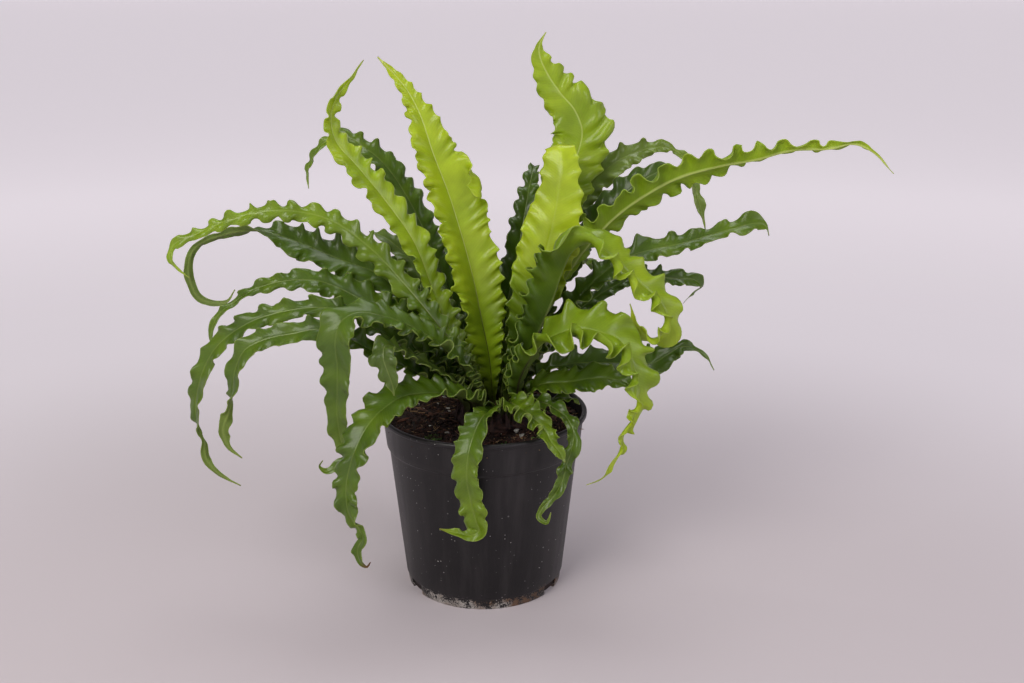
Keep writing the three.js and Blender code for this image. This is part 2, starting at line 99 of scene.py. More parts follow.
def applyModifier(piece, kind, **settings):
    modifier = piece.modifiers.new(kind.title(), kind)
    for key, value in settings.items():
        setattr(modifier, key, value)
    selectOnly(piece)
    bpy.ops.object.modifier_apply(modifier=modifier.name)


def colour(hexValue):
    # sRGB hex to linear
    channels = [int(hexValue[i:i + 2], 16) / 255 for i in (1, 3, 5)]
    linear = [c / 12.92 if c <= 0.04045 else ((c + 0.055) / 1.055) ** 2.4 for c in channels]
    return (*linear, 1)


tintA, tintB, tintOut = 6, 7, 2  # a Mix node's colour sockets go by number, because its names repeat


def addNode(tree, kind, settings={}, links={}):
    # a link names a socket, or a node for that node's first output
    made = tree.nodes.new("ShaderNode" + kind)
    for key, value in settings.items():
        if isinstance(key, int) or key in made.inputs:
            made.inputs[key].default_value = value
        else:
            setattr(made, key, value)
    for key, source in links.items():
        socket = source.outputs[0] if isinstance(source, bpy.types.Node) else source
        tree.links.new(socket, made.inputs[key])
    return made


def newMaterial(name):
    # an empty material, its node tree and the object coordinates that its patterns read
    material = bpy.data.materials.new(name)
    material.use_nodes = True
    tree = material.node_tree
    tree.nodes.clear()
    return material, tree, addNode(tree, "TexCoord").outputs["Object"]


# Camera and light

camera = {"place": (0, -920, 483), "pitch": 0.292, "yaw": 0.0255, "lens": 41.8, "sensor": 36}  # radians
farthest = 200  # metres that the camera sees
softLights = [
    {"name": "key", "place": (-0.85, -1.25, 1.35), "size": 1.1, "watts": 24, "tint": "#FFFCF6"},
    {"name": "fill", "place": (1.25, -1.1, 0.95), "size": 1.0, "watts": 9, "tint": "#FAF8FF"},
    {"name": "top", "place": (0.15, 0.45, 1.6), "size": 0.9, "watts": 9, "tint": "#FFFFFF"},
]
lampAim = (0, 0, 0.2)
skyLight = {"tint": "#E8E2EA", "strength": 0.22}
paperLook = {
    "radius": 60, "wall": 15, "sides": 96,
    "near": "#BFB6BA", "far": "#DDD6DC", "darkest": (0, -0.3, 0), "paleFrom": 0.4, "paleTo": 1.1,
    "glowNear": 0.11, "glowFar": 0.7, "glowWall": 0.36, "glowFrom": 0.45, "glowTo": 2.5,
}


def setCamera():
    lens = bpy.data.cameras.new("camera")
    lens.lens = camera["lens"]
    lens.sensor_width = camera["sensor"]
    lens.clip_end = farthest
    view = bpy.data.objects.new("camera", lens)
    view.location = [v * mm for v in camera["place"]]
    view.rotation_euler = (math.pi / 2 - camera["pitch"], 0, -camera["yaw"])
    bpy.context.scene.collection.objects.link(view)
    bpy.context.scene.camera = view
    bpy.context.scene.view_settings.view_transform = "Standard"


def setLights():
    for light in softLights:
        lamp = bpy.data.lights.new(light["name"], "AREA")
        lamp.energy = light["watts"]
        lamp.size = light["size"]
        lamp.color = colour(light["tint"])[:3]
        holder = bpy.data.objects.new(light["name"], lamp)
        holder.location = light["place"]
        aim = Vector(lampAim) - Vector(light["place"])
        holder.rotation_euler = aim.to_track_quat("-Z", "Y").to_euler()
        bpy.context.scene.collection.objects.link(holder)
    world = bpy.data.worlds.new("studio")
    bpy.context.scene.world = world
    world.use_nodes = True
    background = world.node_tree.nodes["Background"]
    background.inputs["Color"].default_value = colour(skyLight["tint"])
    background.inputs["Strength"].default_value = skyLight["strength"]


def setPaper():
    # the paper lies flat round the plant and stands up far behind it
    deselectAll()
    radius, sides, height = paperLook["radius"], paperLook["sides"], paperLook["wall"]
    bpy.ops.mesh.primitive_circle_add(vertices=sides, radius=radius, fill_type="NGON")
    ground = bpy.context.object
    bpy.ops.mesh.primitive_cylinder_add(
        vertices=sides, radius=radius, depth=height, end_fill_type="NOTHING", location=(0, 0, height / 2),
    )
    bpy.ops.object.transform_apply(location=True)
    for name, paper, glow in (("floor", ground, "glowFar"), ("wall", bpy.context.object, "glowWall")):
        paper.name = name
        paper.data.materials.append(paperMaterial(paperLook[glow]))


def paperMaterial(glowFar):
    # matt background paper, greyer in the shade of the plant and paler further off
    material, tree, place = newMaterial("paperSweep")
    shifted = addNode(tree, "VectorMath", {"operation": "SUBTRACT", 1: paperLook["darkest"]}, {0: place})
    reach = addNode(tree, "VectorMath", {"operation": "LENGTH"}, {0: shifted}).outputs["Value"]
    away = addNode(
        tree, "MapRange",
        {"interpolation_type": "SMOOTHSTEP",
         "From Min": paperLook["paleFrom"], "From Max": paperLook["paleTo"]},
        {"Value": reach},
    )
    tint = addNode(
        tree, "Mix", {"data_type": "RGBA", tintA: colour(paperLook["near"]), tintB: colour(paperLook["far"])},
        {0: away},
    ).outputs[tintOut]
    # the lamps reach the far paper less, so it gives off a little light of its own
    glow = addNode(
        tree, "MapRange",
        {"interpolation_type": "SMOOTHSTEP",
         "From Min": paperLook["glowFrom"], "From Max": paperLook["glowTo"],
         "To Min": paperLook["glowNear"], "To Max": glowFar},
        {"Value": reach},
    )
    surface = addNode(tree, "BsdfPrincipled", {"Roughness": 0.85},
                      {"Base Color": tint, "Emission Color": tint, "Emission Strength": glow})
    addNode(tree, "OutputMaterial", {}, {"Surface": surface})
    return material


setCamera()
setLights()
setPaper()
print("camera, lights and paper set")


# Fronds: living leaf with a waxy skin, which gives soft broad highlights

crown = {"middle": (10, 0), "radius": 33, "foot": 134, "top": 152}
blade = {
    "foot": (1, 140, 6.5), "neck": (1.06, 159, 8),  # first spots: times the root's distance, height and width
    "steps": 420, "fineSteps": 200,  # along the midrib, and where its length is measured
    "smoothing": 17,  # steps over which the width is smoothed
    "rollOver": (0.1, 0.6), "tailOver": (0.45, 0.9),  # shares where the roll changes and the tail drifts
    "tipFrom": 0.94, "tipTaper": 0.62,
    "halfThickness": 0.34,
    "thinBelow": 5, "thinnest": 0.3,  # half width below which the blade thins, and to what share at the least
    "rowsPerWave": 13,
    "nearRib": ((0.9, 0.1), (2.0, 0.22)),  # first columns: reach, and the share of the half that it keeps to
    "columns": (0.12, 0.25, 0.38, 0.51, 0.63, 0.74, 0.84, 0.93, 1.0),  # the rest, as shares of the way on out
    "midribRise": 0.45, "midribSpread": 0.75, "midribFull": (1, 5),  # half widths where it starts and is full
    "firstSeed": 1000, "seedStep": 97,
}
ruffle = {
    # how high the margin swings and how far it leans, as shares of its wave, for each amount of curl
    "curl": (0, 0.8, 1.2, 1.5, 1.8),
    "height": (0, 0.139, 0.236, 0.347, 0.5), "lean": (0, 0.014, 0.038, 0.072, 0.13),
    "curlRange": (0.3, 1.8), "heightShare": 0.5, "heightSpare": 0.3,  # it swings up to half of the half width
    # slow drifts along the blade: how much, and over how many millimetres
    "waveDrift": (0.14, 55), "curlDrift": (0.38, 33), "phaseDrift": (0.9, 47), "widthDrift": (0.08, 23),
    "kindDrift": (1, 71), "tailDrift": (9, 60), "shadeDrift": (0.05, 45),
    "footOver": (0.02, 0.14),  # shares where the margin starts to wave
    "broad": (4, 13),  # half widths of a narrow blade and of a broad one, which stays flat next to the midrib
    "still": 0.28, "growth": (1.15, 2.0), "leanGrowth": 1.5,
    "slant": 0.6,  # how far a crest runs forward on its way in to the midrib
    "across": 0.8,  # 1 where the wave swings square to its half of the blade, 0 where square to the whole
    "drawIn": 0.16,  # the margin is drawn in where it swings
    "widenFrom": 0.5,  # share of the way out where the margin's width starts to drift
    "kindSharpness": 2.5, "spike": 0.2, "spikeLean": 0.11, "lobeMean": 1.27,
    "lobeShare": 0.36,  # a lobe reaches out by at most this share of the half width
    "cupFrom": 0.45, "cupFull": (1.5, 5),  # share of the way out where the cup starts, and half widths for it
    "rollWithin": 0.22,  # share of the half over which a rolled lobe turns
}

# What a frond says of itself, and what it takes where it says nothing:
# root is its distance and direction in degrees from the crown's middle, rib gives points and widths up to the
# tip, and shade runs from 0, the darkest old green, to 1, the palest young lime, at root, middle and tip or
# in a list. The shade values also paint light and shade on the green: darker where a blade lies in shade
# near the crown or under other blades, and paler where it is lit. Lists give values at shares of the length.
# Of a pair for the halves of the blade, the first is for the right one, seen from above on the way from root
# to tip.
usualFrond = {
    "roll": (0, 0), "twist": [(0, 0)],  # degrees turned about the midrib, at root and tip, and more on top
    "folds": ([(0.05, 50), (0.5, 13)],) * 2,  # degrees that each half is folded up
    "wave": [(0.05, 10), (0.42, 15)],  # length of one wave of the margin
    "pace": (1.1, 0.95),  # this margin's waves to one of the frond's
    "curls": ([(0.1, 1.55), (0.5, 1.1)],) * 2,  # how far the wave swings, 0.8 gentle and 1.8 looping
    "calm": [(0.82, 1), (0.97, 0.35)],  # the wave dies down towards the tip
    "widen": [(0.03, 1), (0.12, 1.25), (0.2, 1.25), (0.5, 1)],  # times the width in rib
    "pleat": 0.3,  # share of the wave that reaches in to the midrib
    "lobes": (0.2, 0.2),  # above 0 mostly round lobes, below 0 mostly points
    "lobe": (2.1, 2.1),  # how far a lobe reaches out
    "cup": (70, 70),  # degrees that a round lobe bends down at its edge; below 0 it curls up and over
    "rolledLobe": None,  # one lobe that rolls in over the blade
    "midrib": 0.1, "bloom": (0, 0),  # how clear the pale midrib is, and the dull bloom on each half
    "tinge": (0, 1, 0), "tipBrown": 0,  # a brown tinge: where, spread and strength; and a dying tip
}
fronds = [
    {"name": "tall_left", "slot": "lime", "shade": (0.55, 0.84, 0.92), "root": (7, 110), "heading": 100,
     "roll": (-25, -5),
     "folds": ([(0.05, 35), (0.3, 8), (0.6, 0), (0.9, 10)],
               [(0.05, 55), (0.3, 68), (0.62, 60), (0.78, 42), (0.95, 20)]), "wave": [(0.05, 9), (0.4, 12)],
     "curls": ([(0.1, 1.5), (0.4, 1.0)], [(0.1, 1.6), (0.5, 1.35)]), "lobes": (-0.5, 0.9),
     "rolledLobe": {"left": False, "at": 0.615, "spread": 0.045, "start": 0.6, "turn": 160, "wider": 20},
     "midrib": 0.55, "bloom": (-0.42, -0.42), "tinge": (0.97, 0.02, 0.15),
     "rib": [(5, 8, 190, 20), (-1, 9, 222, 34), (-8, 11, 258, 45), (-17, 12, 293, 48), (-27, 14, 326, 46),
             (-38, 15, 356, 39), (-47, 18, 384, 23), (-56, 21, 402, 13), (-69, 25, 418, 7),
             (-80, 28, 429, 3)]},
    {"name": "tall_right_front", "slot": "lime",
     "shade": [(0.05, 0.1), (0.28, 0.22), (0.4, 0.6), (0.5, 0.9), (1, 0.94)], "root": (7, 350),
     "heading": 75, "folds": ([(0.05, 50), (0.4, 12), (0.7, -12)],) * 2,
     "curls": ([(0.1, 1.4), (0.4, 1.1), (0.65, 0.8)], [(0.1, 1.4), (0.4, 1.0), (0.65, 0.8)]),
     "calm": [(0.6, 1), (0.7, 0.4), (1, 0.3)],
     "widen": [(0.05, 0.9), (0.25, 0.8), (0.42, 1.1), (0.55, 1.15), (0.66, 1), (0.74, 0.76), (1, 0.7)],
     "pleat": 0.6, "lobes": (-0.6, -0.4), "midrib": 0.08, "tinge": (0.865, 0.02, 0.22),
     "rib": [(24, -2, 190, 16), (31, -4, 220, 28), (42, -4, 252, 38), (51, -4, 285, 42), (58, -3, 318, 43),
             (61, 0, 345, 41), (61, 8, 362, 35), (60, 19, 361, 26), (58, 27, 348, 16), (57, 29, 332, 4)]},
    {"name": "tall_right_back", "slot": "lime", "shade": (0.42, 0.7, 0.78), "root": (14, 65), "heading": 80,
     "folds": ([(0.05, 50), (0.5, 5), (0.9, -12)], [(0.05, 50), (0.5, 20)]),
     "wave": [(0.05, 10), (0.4, 13)], "pace": (0.95, 1.0),
     "curls": ([(0.1, 1.5), (0.4, 1.25), (0.9, 1.4)],
               [(0.1, 1.4), (0.4, 0.8), (0.62, 0.7), (0.7, 0.3), (0.8, 0.3), (0.88, 0.8)]), "pleat": 0.7,
     "lobes": (1.2, 0.6), "lobe": (3.8, 1.3), "midrib": 0.45,
     "rib": [(21, 19, 186, 14), (31, 26, 214, 22), (50, 34, 274, 34), (67, 40, 324, 42), (79, 44, 356, 48),
             (81, 44, 370, 48), (75, 44, 386, 42), (63, 44, 400, 33), (52, 42, 416, 23), (46, 40, 430, 12),
             (46, 39, 438, 6), (51, 38, 447, 2.5)]},
    {"name": "upright_behind", "slot": "dark", "shade": (0.12, 0.16, 0.25), "root": (12, 100),
     "heading": 85,
     "rib": [(14, 30, 195, 14), (22, 41, 236, 21), (30, 50, 272, 23), (36, 62, 302, 19), (41, 78, 324, 13),
             (45, 96, 334, 8), (48, 112, 328, 3)]},
    {"name": "left_high_curl", "slot": "lime", "shade": (0.4, 0.72, 0.82), "root": (12, 185),
     "heading": 185, "roll": (-25, -45), "midrib": 0.35,
     "rib": [(-13, -5, 190, 14), (-26, -7.5, 216, 19), (-39, -10.5, 252, 24), (-53, -14, 292, 27),
             (-75, -16, 326, 26), (-94, -18, 351, 24), (-109, -20, 370, 20), (-112, -21, 387, 15),
             (-107, -22, 403, 9), (-97, -23, 415, 5), (-86, -24, 430, 3)]},
    {"name": "left_high_back", "slot": "dark", "shade": (0.15, 0.24, 0.5), "root": (12, 148),
     "heading": 155, "roll": (-20, -30),
     "rib": [(-10, 20, 190, 13), (-19, 32, 216, 17), (-34, 40, 255, 24), (-58, 48, 310, 26),
             (-79, 52, 342, 24), (-97, 54, 357, 19), (-115, 58, 365, 12), (-132, 60, 356, 9),
             (-143, 62, 336, 8), (-143, 62, 321, 3)]},
    {"name": "left_inner_short", "slot": "mid", "shade": (0.2, 0.28, 0.35), "root": (18, 166),
     "heading": 172, "roll": (-20, -30), "widen": [(0.05, 1), (0.2, 1.5), (0.6, 1.3)], "bloom": (0.2, 0.2),
     "rib": [(-17, 9.5, 206, 12), (-31, 13, 232, 16), (-47, 15, 257, 18), (-62, 18, 275, 17),
             (-78, 21, 288, 12), (-91, 25, 292, 4)]},
    {"name": "left_long_arch", "slot": "fresh", "shade": (0.26, 0.44, 0.7), "root": (18, 194),
     "heading": 186, "roll": (-20, -40),
     "folds": ([(0.05, 50), (0.5, 13)], [(0.05, 50), (0.3, -5), (0.5, -32), (1, -20)]),
     "wave": [(0.05, 10), (0.4, 17)], "widen": [(0.05, 1), (0.2, 1), (0.35, 0.78), (0.7, 0.85)],
     "lobes": (-0.2, 1.0), "lobe": (2.1, 3.2), "midrib": 0.1,
     "rib": [(-18, -22.5, 202, 14), (-31, -29, 224, 18), (-59, -30, 261, 24), (-87, -26, 291, 24),
             (-119, -17, 311, 20), (-156, -20, 318, 17), (-190, -22, 312, 13), (-217, -22, 301, 10),
             (-237, -22, 291, 9), (-239, -23, 280, 6), (-225, -24, 266, 3)]},
    {"name": "left_dark_arch", "slot": "mid", "shade": (0.2, 0.3, 0.34), "root": (23, 172), "heading": 176,
     "roll": (-15, -48), "twist": [(0.6, 0), (0.7, 112), (1, 115)], "wave": [(0.05, 10), (0.4, 17)],
     "curls": ([(0.1, 1.6), (0.6, 1.4)], [(0.1, 1.5), (0.6, 1.2)]),
     "calm": [(0.59, 1), (0.66, 0.2), (0.8, 0.5), (0.86, 0.2), (1, 0.1)],
     "widen": [(0.05, 1.2), (0.15, 1.7), (0.4, 1.3), (0.6, 1.15), (0.68, 0.9)], "lobes": (-0.9, 0.1),
     "rib": [(-24, 2, 186, 12), (-42, 3, 216, 18), (-62, 6, 241, 24), (-83, 10, 260, 27),
             (-115, 11, 273, 28), (-147, 12, 287, 23), (-178, 12, 296, 16), (-207, 12, 292, 8),
             (-228, 11, 282, 7), (-234, 10, 263, 9), (-226, 9, 241, 7), (-206, 8, 239, 5),
             (-198, 8, 249, 3)]},
    {"name": "left_back_short", "slot": "dark", "shade": (0.14, 0.2, 0.28), "root": (23, 150),
     "heading": 163, "roll": (-15, -25), "widen": [(0.05, 1.2), (0.2, 1.9), (0.6, 1.5)],
     "rib": [(-20, 19, 190, 11), (-35, 28, 222, 16), (-54, 35, 246, 18), (-73, 39, 258, 18),
             (-94, 41, 269, 14), (-110, 42, 275, 9), (-123, 44, 271, 3)]},
    {"name": "left_second_arch", "slot": "mid", "shade": (0.2, 0.3, 0.4), "root": (25, 187), "heading": 187,
     "roll": (-15, -48), "wave": [(0.05, 10), (0.4, 18)],
     "widen": [(0.04, 1.4), (0.1, 1.95), (0.2, 1.75), (0.45, 1.3), (0.6, 0.95)], "lobes": (-0.3, 0.3),
     "rib": [(-26, -9, 182, 12), (-45, -13, 206, 18), (-70, -16, 230, 23), (-100, -18, 250, 25),
             (-127, -22, 263, 20), (-152, -25, 264, 15), (-175, -26, 258, 10), (-193, -26, 247, 7),
             (-206, -26, 236, 6), (-212, -26, 220, 6), (-211, -26, 210, 3)]},
    {"name": "left_long_droop", "slot": "mid", "shade": (0.2, 0.34, 0.4), "root": (27, 202), "heading": 192,
     "roll": (-15, -48), "twist": [(0.8, 0), (0.87, 60), (0.93, 140), (1, 150)],
     "wave": [(0.05, 10), (0.4, 20)], "calm": [(0.5, 1), (0.66, 0.5), (1, 0.35)],
     "widen": [(0.04, 1.4), (0.12, 1.95), (0.4, 1.1), (0.8, 1.1), (0.86, 0.8)], "lobes": (-0.5, -0.2),
     "rib": [(-29, -18, 180, 12), (-50, -28, 201, 16), (-80, -41, 228, 17), (-110, -48, 247, 16),
             (-138, -49, 248, 15), (-173, -48, 239, 15), (-199, -46, 222, 17), (-213, -46, 203, 16),
             (-222, -46, 176, 14), (-223, -46, 158, 12), (-219, -46, 142, 9), (-217, -47, 125, 8),
             (-209, -48, 114, 6), (-192, -49, 104, 3)]},
    {"name": "left_third_droop", "slot": "mid", "shade": (0.2, 0.32, 0.4), "root": (30, 216),
     "heading": 198, "roll": (-15, -48), "twist": [(0.8, 0), (0.9, 150), (1, 165)],
     "wave": [(0.05, 10), (0.4, 20)], "calm": [(0.45, 1), (0.58, 0.5), (1, 0.4)],
     "widen": [(0.04, 1.4), (0.12, 1.95), (0.4, 1.1)], "lobes": (-0.6, -0.5), "lobe": (2.8, 2.8),
     "rib": [(-27, -26, 172, 11), (-48, -41, 191, 15), (-79, -56, 214, 17), (-118, -65, 236, 17),
             (-143, -65, 233, 16), (-163, -66, 229, 16), (-178, -67, 221, 16), (-186, -68, 205, 15),
             (-189, -68, 188, 12), (-193, -68, 172, 9), (-198, -68, 157, 8), (-194, -69, 144, 5),
             (-185, -70, 136, 3)]},
    {"name": "left_curly_droop", "slot": "mid", "shade": (0.16, 0.3, 0.4), "root": (21, 218),
     "heading": 212, "roll": (-15, -20), "wave": [(0.05, 9), (0.4, 14), (0.55, 19)],
     "curls": ([(0.1, 1.4), (0.4, 1.1)], [(0.1, 1.8), (0.5, 1.75), (0.8, 1.1)]),
     "calm": [(0.48, 1), (0.62, 0.55), (1, 0.35)], "lobes": (0.5, 0.8), "midrib": 0.08,
     "rib": [(-12, -32.5, 189, 15), (-26, -48, 212, 22), (-46, -56, 231, 27), (-71, -64, 245, 30),
             (-92, -72, 251, 30), (-104, -80, 246, 30), (-108, -84, 232, 30), (-107, -86, 215, 28),
             (-108, -85, 195, 22), (-109, -84, 177, 18), (-107, -84, 155, 15), (-103, -84, 142, 9),
             (-111, -85, 135, 7), (-119, -86, 131, 6), (-124, -86, 135, 4), (-121, -86, 140, 2.5)]},
    {"name": "left_small_bow", "slot": "mid", "shade": (0.12, 0.16, 0.26), "root": (28, 232),
     "heading": 222, "roll": (-10, -15), "wave": [(0.05, 9), (0.4, 13)],
     "widen": [(0.05, 1.2), (0.15, 1.6), (0.45, 1.1), (0.6, 0.88)], "bloom": (0.15, 0.15),
     "rib": [(-20, -33, 178, 14), (-37, -47, 198, 20), (-53, -63, 213, 22), (-64, -74, 224, 21),
             (-72, -82, 228, 20), (-73, -88, 221, 20), (-70, -90, 211, 18), (-67, -90, 202, 11),
             (-66, -89, 192, 3)]},
    {"name": "front_left_low_droop", "slot": "fresh", "shade": (0.26, 0.34, 0.36), "root": (28, 252),
     "heading": 228, "roll": (-10, -20), "widen": [(0.03, 1.5), (0.1, 2.0), (0.2, 1.75), (0.4, 1.15)],
     "tipBrown": 1,
     "rib": [(-6, -38, 167, 12), (-19, -55, 179, 17), (-40, -70, 187, 24), (-60, -80, 188, 29),
             (-74, -90, 182, 29), (-84, -100, 174, 28), (-92, -108, 161, 25), (-98, -113, 145, 20),
             (-101, -115, 128, 17), (-99, -116, 108, 13), (-93, -116, 98, 8), (-90, -116, 90, 7),
             (-94, -116, 82, 8), (-93, -117, 72, 6), (-88, -117, 67, 4), (-85, -117, 71, 2.5)]},
    {"name": "front_middle_droop", "slot": "fresh", "shade": (0.3, 0.36, 0.58), "root": (28, 272),
     "heading": 262, "wave": [(0.05, 10), (0.4, 14)],
     "curls": ([(0.1, 1.4), (0.4, 1.0)], [(0.1, 1.4), (0.4, 0.9)]),
     "widen": [(0.04, 1.6), (0.14, 1.8), (0.3, 1.35), (0.85, 1.15)], "lobe": (1.3, 1.5), "tipBrown": 0.35,
     "rib": [(7, -42, 161, 10), (0, -66, 167, 15), (-6, -84, 162, 18), (-11, -94, 149, 19),
             (-13, -97, 130, 19), (-10, -98, 111, 18), (-6, -98, 94, 17), (-4, -98, 86, 13),
             (-11, -99, 83, 8), (-22, -100, 86, 5), (-34, -100, 89, 2.5)]},
    {"name": "front_right_curly", "slot": "fresh", "shade": (0.3, 0.42, 0.46), "root": (28, 292),
     "heading": 292, "wave": [(0.05, 9), (0.4, 12)],
     "curls": ([(0.1, 1.7), (0.6, 1.5)], [(0.1, 1.7), (0.6, 1.5)]),
     "widen": [(0.05, 1.7), (0.25, 2.0), (0.55, 1.9), (0.85, 1.2)], "cup": (-90, -60),
     "rib": [(21, -38, 167, 9), (29, -58, 170, 12), (38, -72, 167, 12), (45, -80, 162, 12),
             (51, -87, 153, 11), (57, -90, 146, 8), (61, -92, 139, 3)]},
    {"name": "front_right_droop", "slot": "mid", "shade": (0.2, 0.27, 0.4), "root": (28, 312),
     "heading": 318, "roll": (10, 20), "wave": [(0.05, 10), (0.4, 17)],
     "calm": [(0.5, 1), (0.75, 0.8), (1, 0.3)], "widen": [(0.05, 1.1), (0.3, 1.1), (0.45, 0.85), (1, 0.9)],
     "rib": [(34, -29, 162, 9), (44, -40, 169, 11), (56, -52, 167, 12), (65, -62, 162, 12),
             (69, -70, 153, 12), (67, -75, 142, 12), (63, -77, 130, 12), (60, -79, 118, 11),
             (53, -81, 106, 9), (45, -83, 98, 6), (42, -85, 91, 5), (48, -87, 87, 4), (51, -88, 96, 2.5)]},
    {"name": "right_low", "slot": "mid", "shade": (0.28, 0.38, 0.34), "root": (28, 332), "heading": 340,
     "roll": (10, 25), "wave": [(0.05, 9), (0.4, 13)],
     "widen": [(0.03, 1.5), (0.1, 1.8), (0.25, 1.5), (0.7, 1.35), (0.85, 1.1)],
     "rib": [(44, -20, 175, 17), (68, -29, 181, 21), (91, -37, 187, 20), (106, -43, 187, 15),
             (114, -47, 184, 8), (119, -50, 178, 3)]},
    {"name": "right_flat", "slot": "dark", "shade": (0.2, 0.2, 0.26), "root": (28, 350), "heading": 358,
     "roll": (10, 40), "widen": [(0.05, 1), (0.2, 1.1), (0.5, 1.25), (0.68, 1.5), (0.8, 1.5), (0.87, 0.9)],
     "rib": [(47, -4, 180, 13), (70, -4, 188, 21), (94, -4, 189, 23), (119, -6, 189, 22),
             (138, -8, 190, 22), (149, -9, 197, 12), (160, -10, 204, 9), (171, -11, 202, 6),
             (180, -12, 195, 4), (186, -13, 185, 2.5)]},
    {"name": "right_lime_droop", "slot": "lime",
     "shade": [(0.1, 0.18), (0.27, 0.3), (0.37, 0.58), (0.62, 0.68), (0.8, 0.84), (1, 0.92)],
     "root": (21, 322), "heading": 328, "roll": (10, 30),
     "twist": [(0.06, -50), (0.22, -62), (0.3, -40), (0.4, 0)],
     "folds": ([(0.05, 25), (0.2, 8), (0.45, 13)], [(0.05, 50), (0.25, 50), (0.42, 15)]),
     "wave": [(0.05, 12), (0.4, 18)], "pace": (0.85, 0.95),
     "curls": ([(0.1, 1.5), (0.3, 1.7), (0.6, 1.6), (0.75, 1.2)], [(0.1, 1.0), (0.4, 1.1), (0.7, 1.4)]),
     "widen": [(0.04, 1), (0.12, 1.7), (0.22, 1.8), (0.32, 1.5), (0.6, 1.3), (0.75, 1.1), (0.82, 0.9)],
     "lobes": (1.2, -0.3), "cup": (-120, 60), "midrib": 0.12, "bloom": (-0.42, -0.05),
     "rib": [(28, -29, 180, 12), (35, -43.5, 203, 18), (48, -56, 224, 27), (70, -64, 235, 32),
             (88, -69, 234, 32), (103, -69, 227, 28), (112, -72, 211, 28), (117, -74, 195, 26),
             (118, -75, 181, 19), (114, -76, 168, 15), (107, -77, 158, 12), (104, -78, 143, 9),
             (97, -80, 130, 6), (89, -81, 120, 4), (78, -82, 116, 2.5)]},
    {"name": "right_lime_arch", "slot": "lime",
     "shade": [(0.1, 0.2), (0.46, 0.36), (0.58, 0.72), (0.8, 0.78), (1, 0.9)], "root": (13, 318),
     "heading": 342, "roll": (10, 30),
     "twist": [(0.06, -50), (0.3, -62), (0.49, -62), (0.6, -10), (0.66, 0)],
     "folds": ([(0.05, 25), (0.3, 8), (0.7, 13)], [(0.05, 50), (0.45, 50), (0.65, 15)]),
     "wave": [(0.05, 12), (0.4, 17)], "pace": (0.78, 0.95),
     "curls": ([(0.1, 1.5), (0.5, 1.7), (0.85, 1.5)], [(0.1, 1.0), (0.45, 0.8), (0.68, 0.75), (0.85, 1.5)]),
     "widen": [(0.05, 1), (0.16, 1.7), (0.25, 1.85), (0.5, 1.75), (0.57, 1.4), (0.7, 1.25), (0.86, 1.1)],
     "lobes": (1.2, -0.1), "cup": (-120, 60), "midrib": 0.1, "bloom": (-0.42, -0.05),
     "rib": [(28, -17.5, 186, 14), (36, -25, 204, 20), (54, -31, 249, 31), (62, -35, 275, 35),
             (70, -38, 291, 33), (82, -40, 296, 32), (95, -42, 288, 30), (108, -43, 276, 27),
             (120, -44, 265, 26), (133, -45, 253, 29), (141, -46, 240, 28), (140, -46, 227, 25),
             (130, -47, 222, 18), (118, -48, 234, 7), (112, -48, 250, 2.5)]},
    {"name": "right_longest", "slot": "fresh", "shade": (0.32, 0.56, 0.82), "root": (14, 5), "heading": 350,
     "roll": (10, -62),
     "folds": ([(0.05, 50), (0.3, 20), (0.5, 13)],
               [(0.05, 50), (0.3, 18), (0.6, 20), (0.68, 42), (0.77, 62), (1, 55)]),
     "wave": [(0.05, 11), (0.4, 18)], "pace": (1.0, 0.95),
     "curls": ([(0.1, 0.9), (0.35, 1.0), (0.55, 1.45), (0.8, 1.2)], [(0.1, 1.3), (0.5, 1.1)]),
     "widen": [(0.03, 1), (0.12, 1.25), (0.2, 1.3), (0.6, 1.22), (0.8, 1.1), (1, 1)], "lobes": (0.6, 0.3),
     "lobe": (3, 3), "midrib": 0.6, "bloom": (-0.42, -0.42),
     "rib": [(38, 3, 195, 13), (52, 6, 228, 18), (66, 7, 256, 22), (80, 4, 279, 24), (104, 0, 307, 25),
             (128, -8, 327, 25), (151, -16, 341, 24), (180, -26, 351, 23), (205, -35, 357, 20),
             (230, -43, 365, 15), (255, -50, 367, 10), (271, -55, 371, 7), (284, -58, 366, 5),
             (301, -60, 350, 2.5)]},
    {"name": "right_back_high", "slot": "dark", "shade": (0.26, 0.44, 0.5), "root": (19, 44), "heading": 32,
     "roll": (10, 30), "lobes": (-0.3, -0.4), "bloom": (0.35, 0.35),
     "rib": [(31, 29, 188, 12), (41, 41, 222, 16), (51, 50, 252, 22), (63, 57, 280, 26), (85, 62, 315, 28),
             (107, 62, 339, 27), (128, 64, 350, 18), (150, 65, 354, 10), (165, 65, 348, 8),
             (176, 64, 325, 8), (183, 63, 304, 10), (188, 62, 285, 3)]},
    {"name": "right_back_broad", "slot": "dark", "shade": (0.08, 0.16, 0.24), "root": (19, 22),
     "heading": 18, "roll": (10, 40),
     "rib": [(37, 17, 190, 12), (47, 24, 215, 16), (59, 29, 240, 20), (72, 34, 264, 24), (91, 36, 293, 28),
             (112, 38, 316, 27), (133, 39, 332, 22), (150, 40, 339, 13), (163, 41, 336, 4)]},
    {"name": "right_middle", "slot": "dark", "shade": (0.16, 0.3, 0.42), "root": (24, 8), "heading": 8,
     "roll": (10, 42), "wave": [(0.05, 10), (0.4, 17), (0.8, 22)], "calm": [(0.6, 1), (0.8, 0.6), (1, 0.5)],
     "lobes": (-0.4, -0.5), "lobe": (2.6, 2.8),
     "rib": [(46, 9, 189, 13), (61, 12, 214, 18), (77, 15, 236, 20), (93, 19, 253, 22), (113, 22, 268, 24),
             (136, 24, 276, 24), (162, 25, 281, 21), (186, 26, 288, 14), (205, 26, 293, 19),
             (220, 26, 297, 18), (230, 26, 295, 13), (233, 26, 287, 4)]},
    {"name": "right_back_narrow", "slot": "dark", "shade": (0.14, 0.2, 0.3), "root": (26, 34),
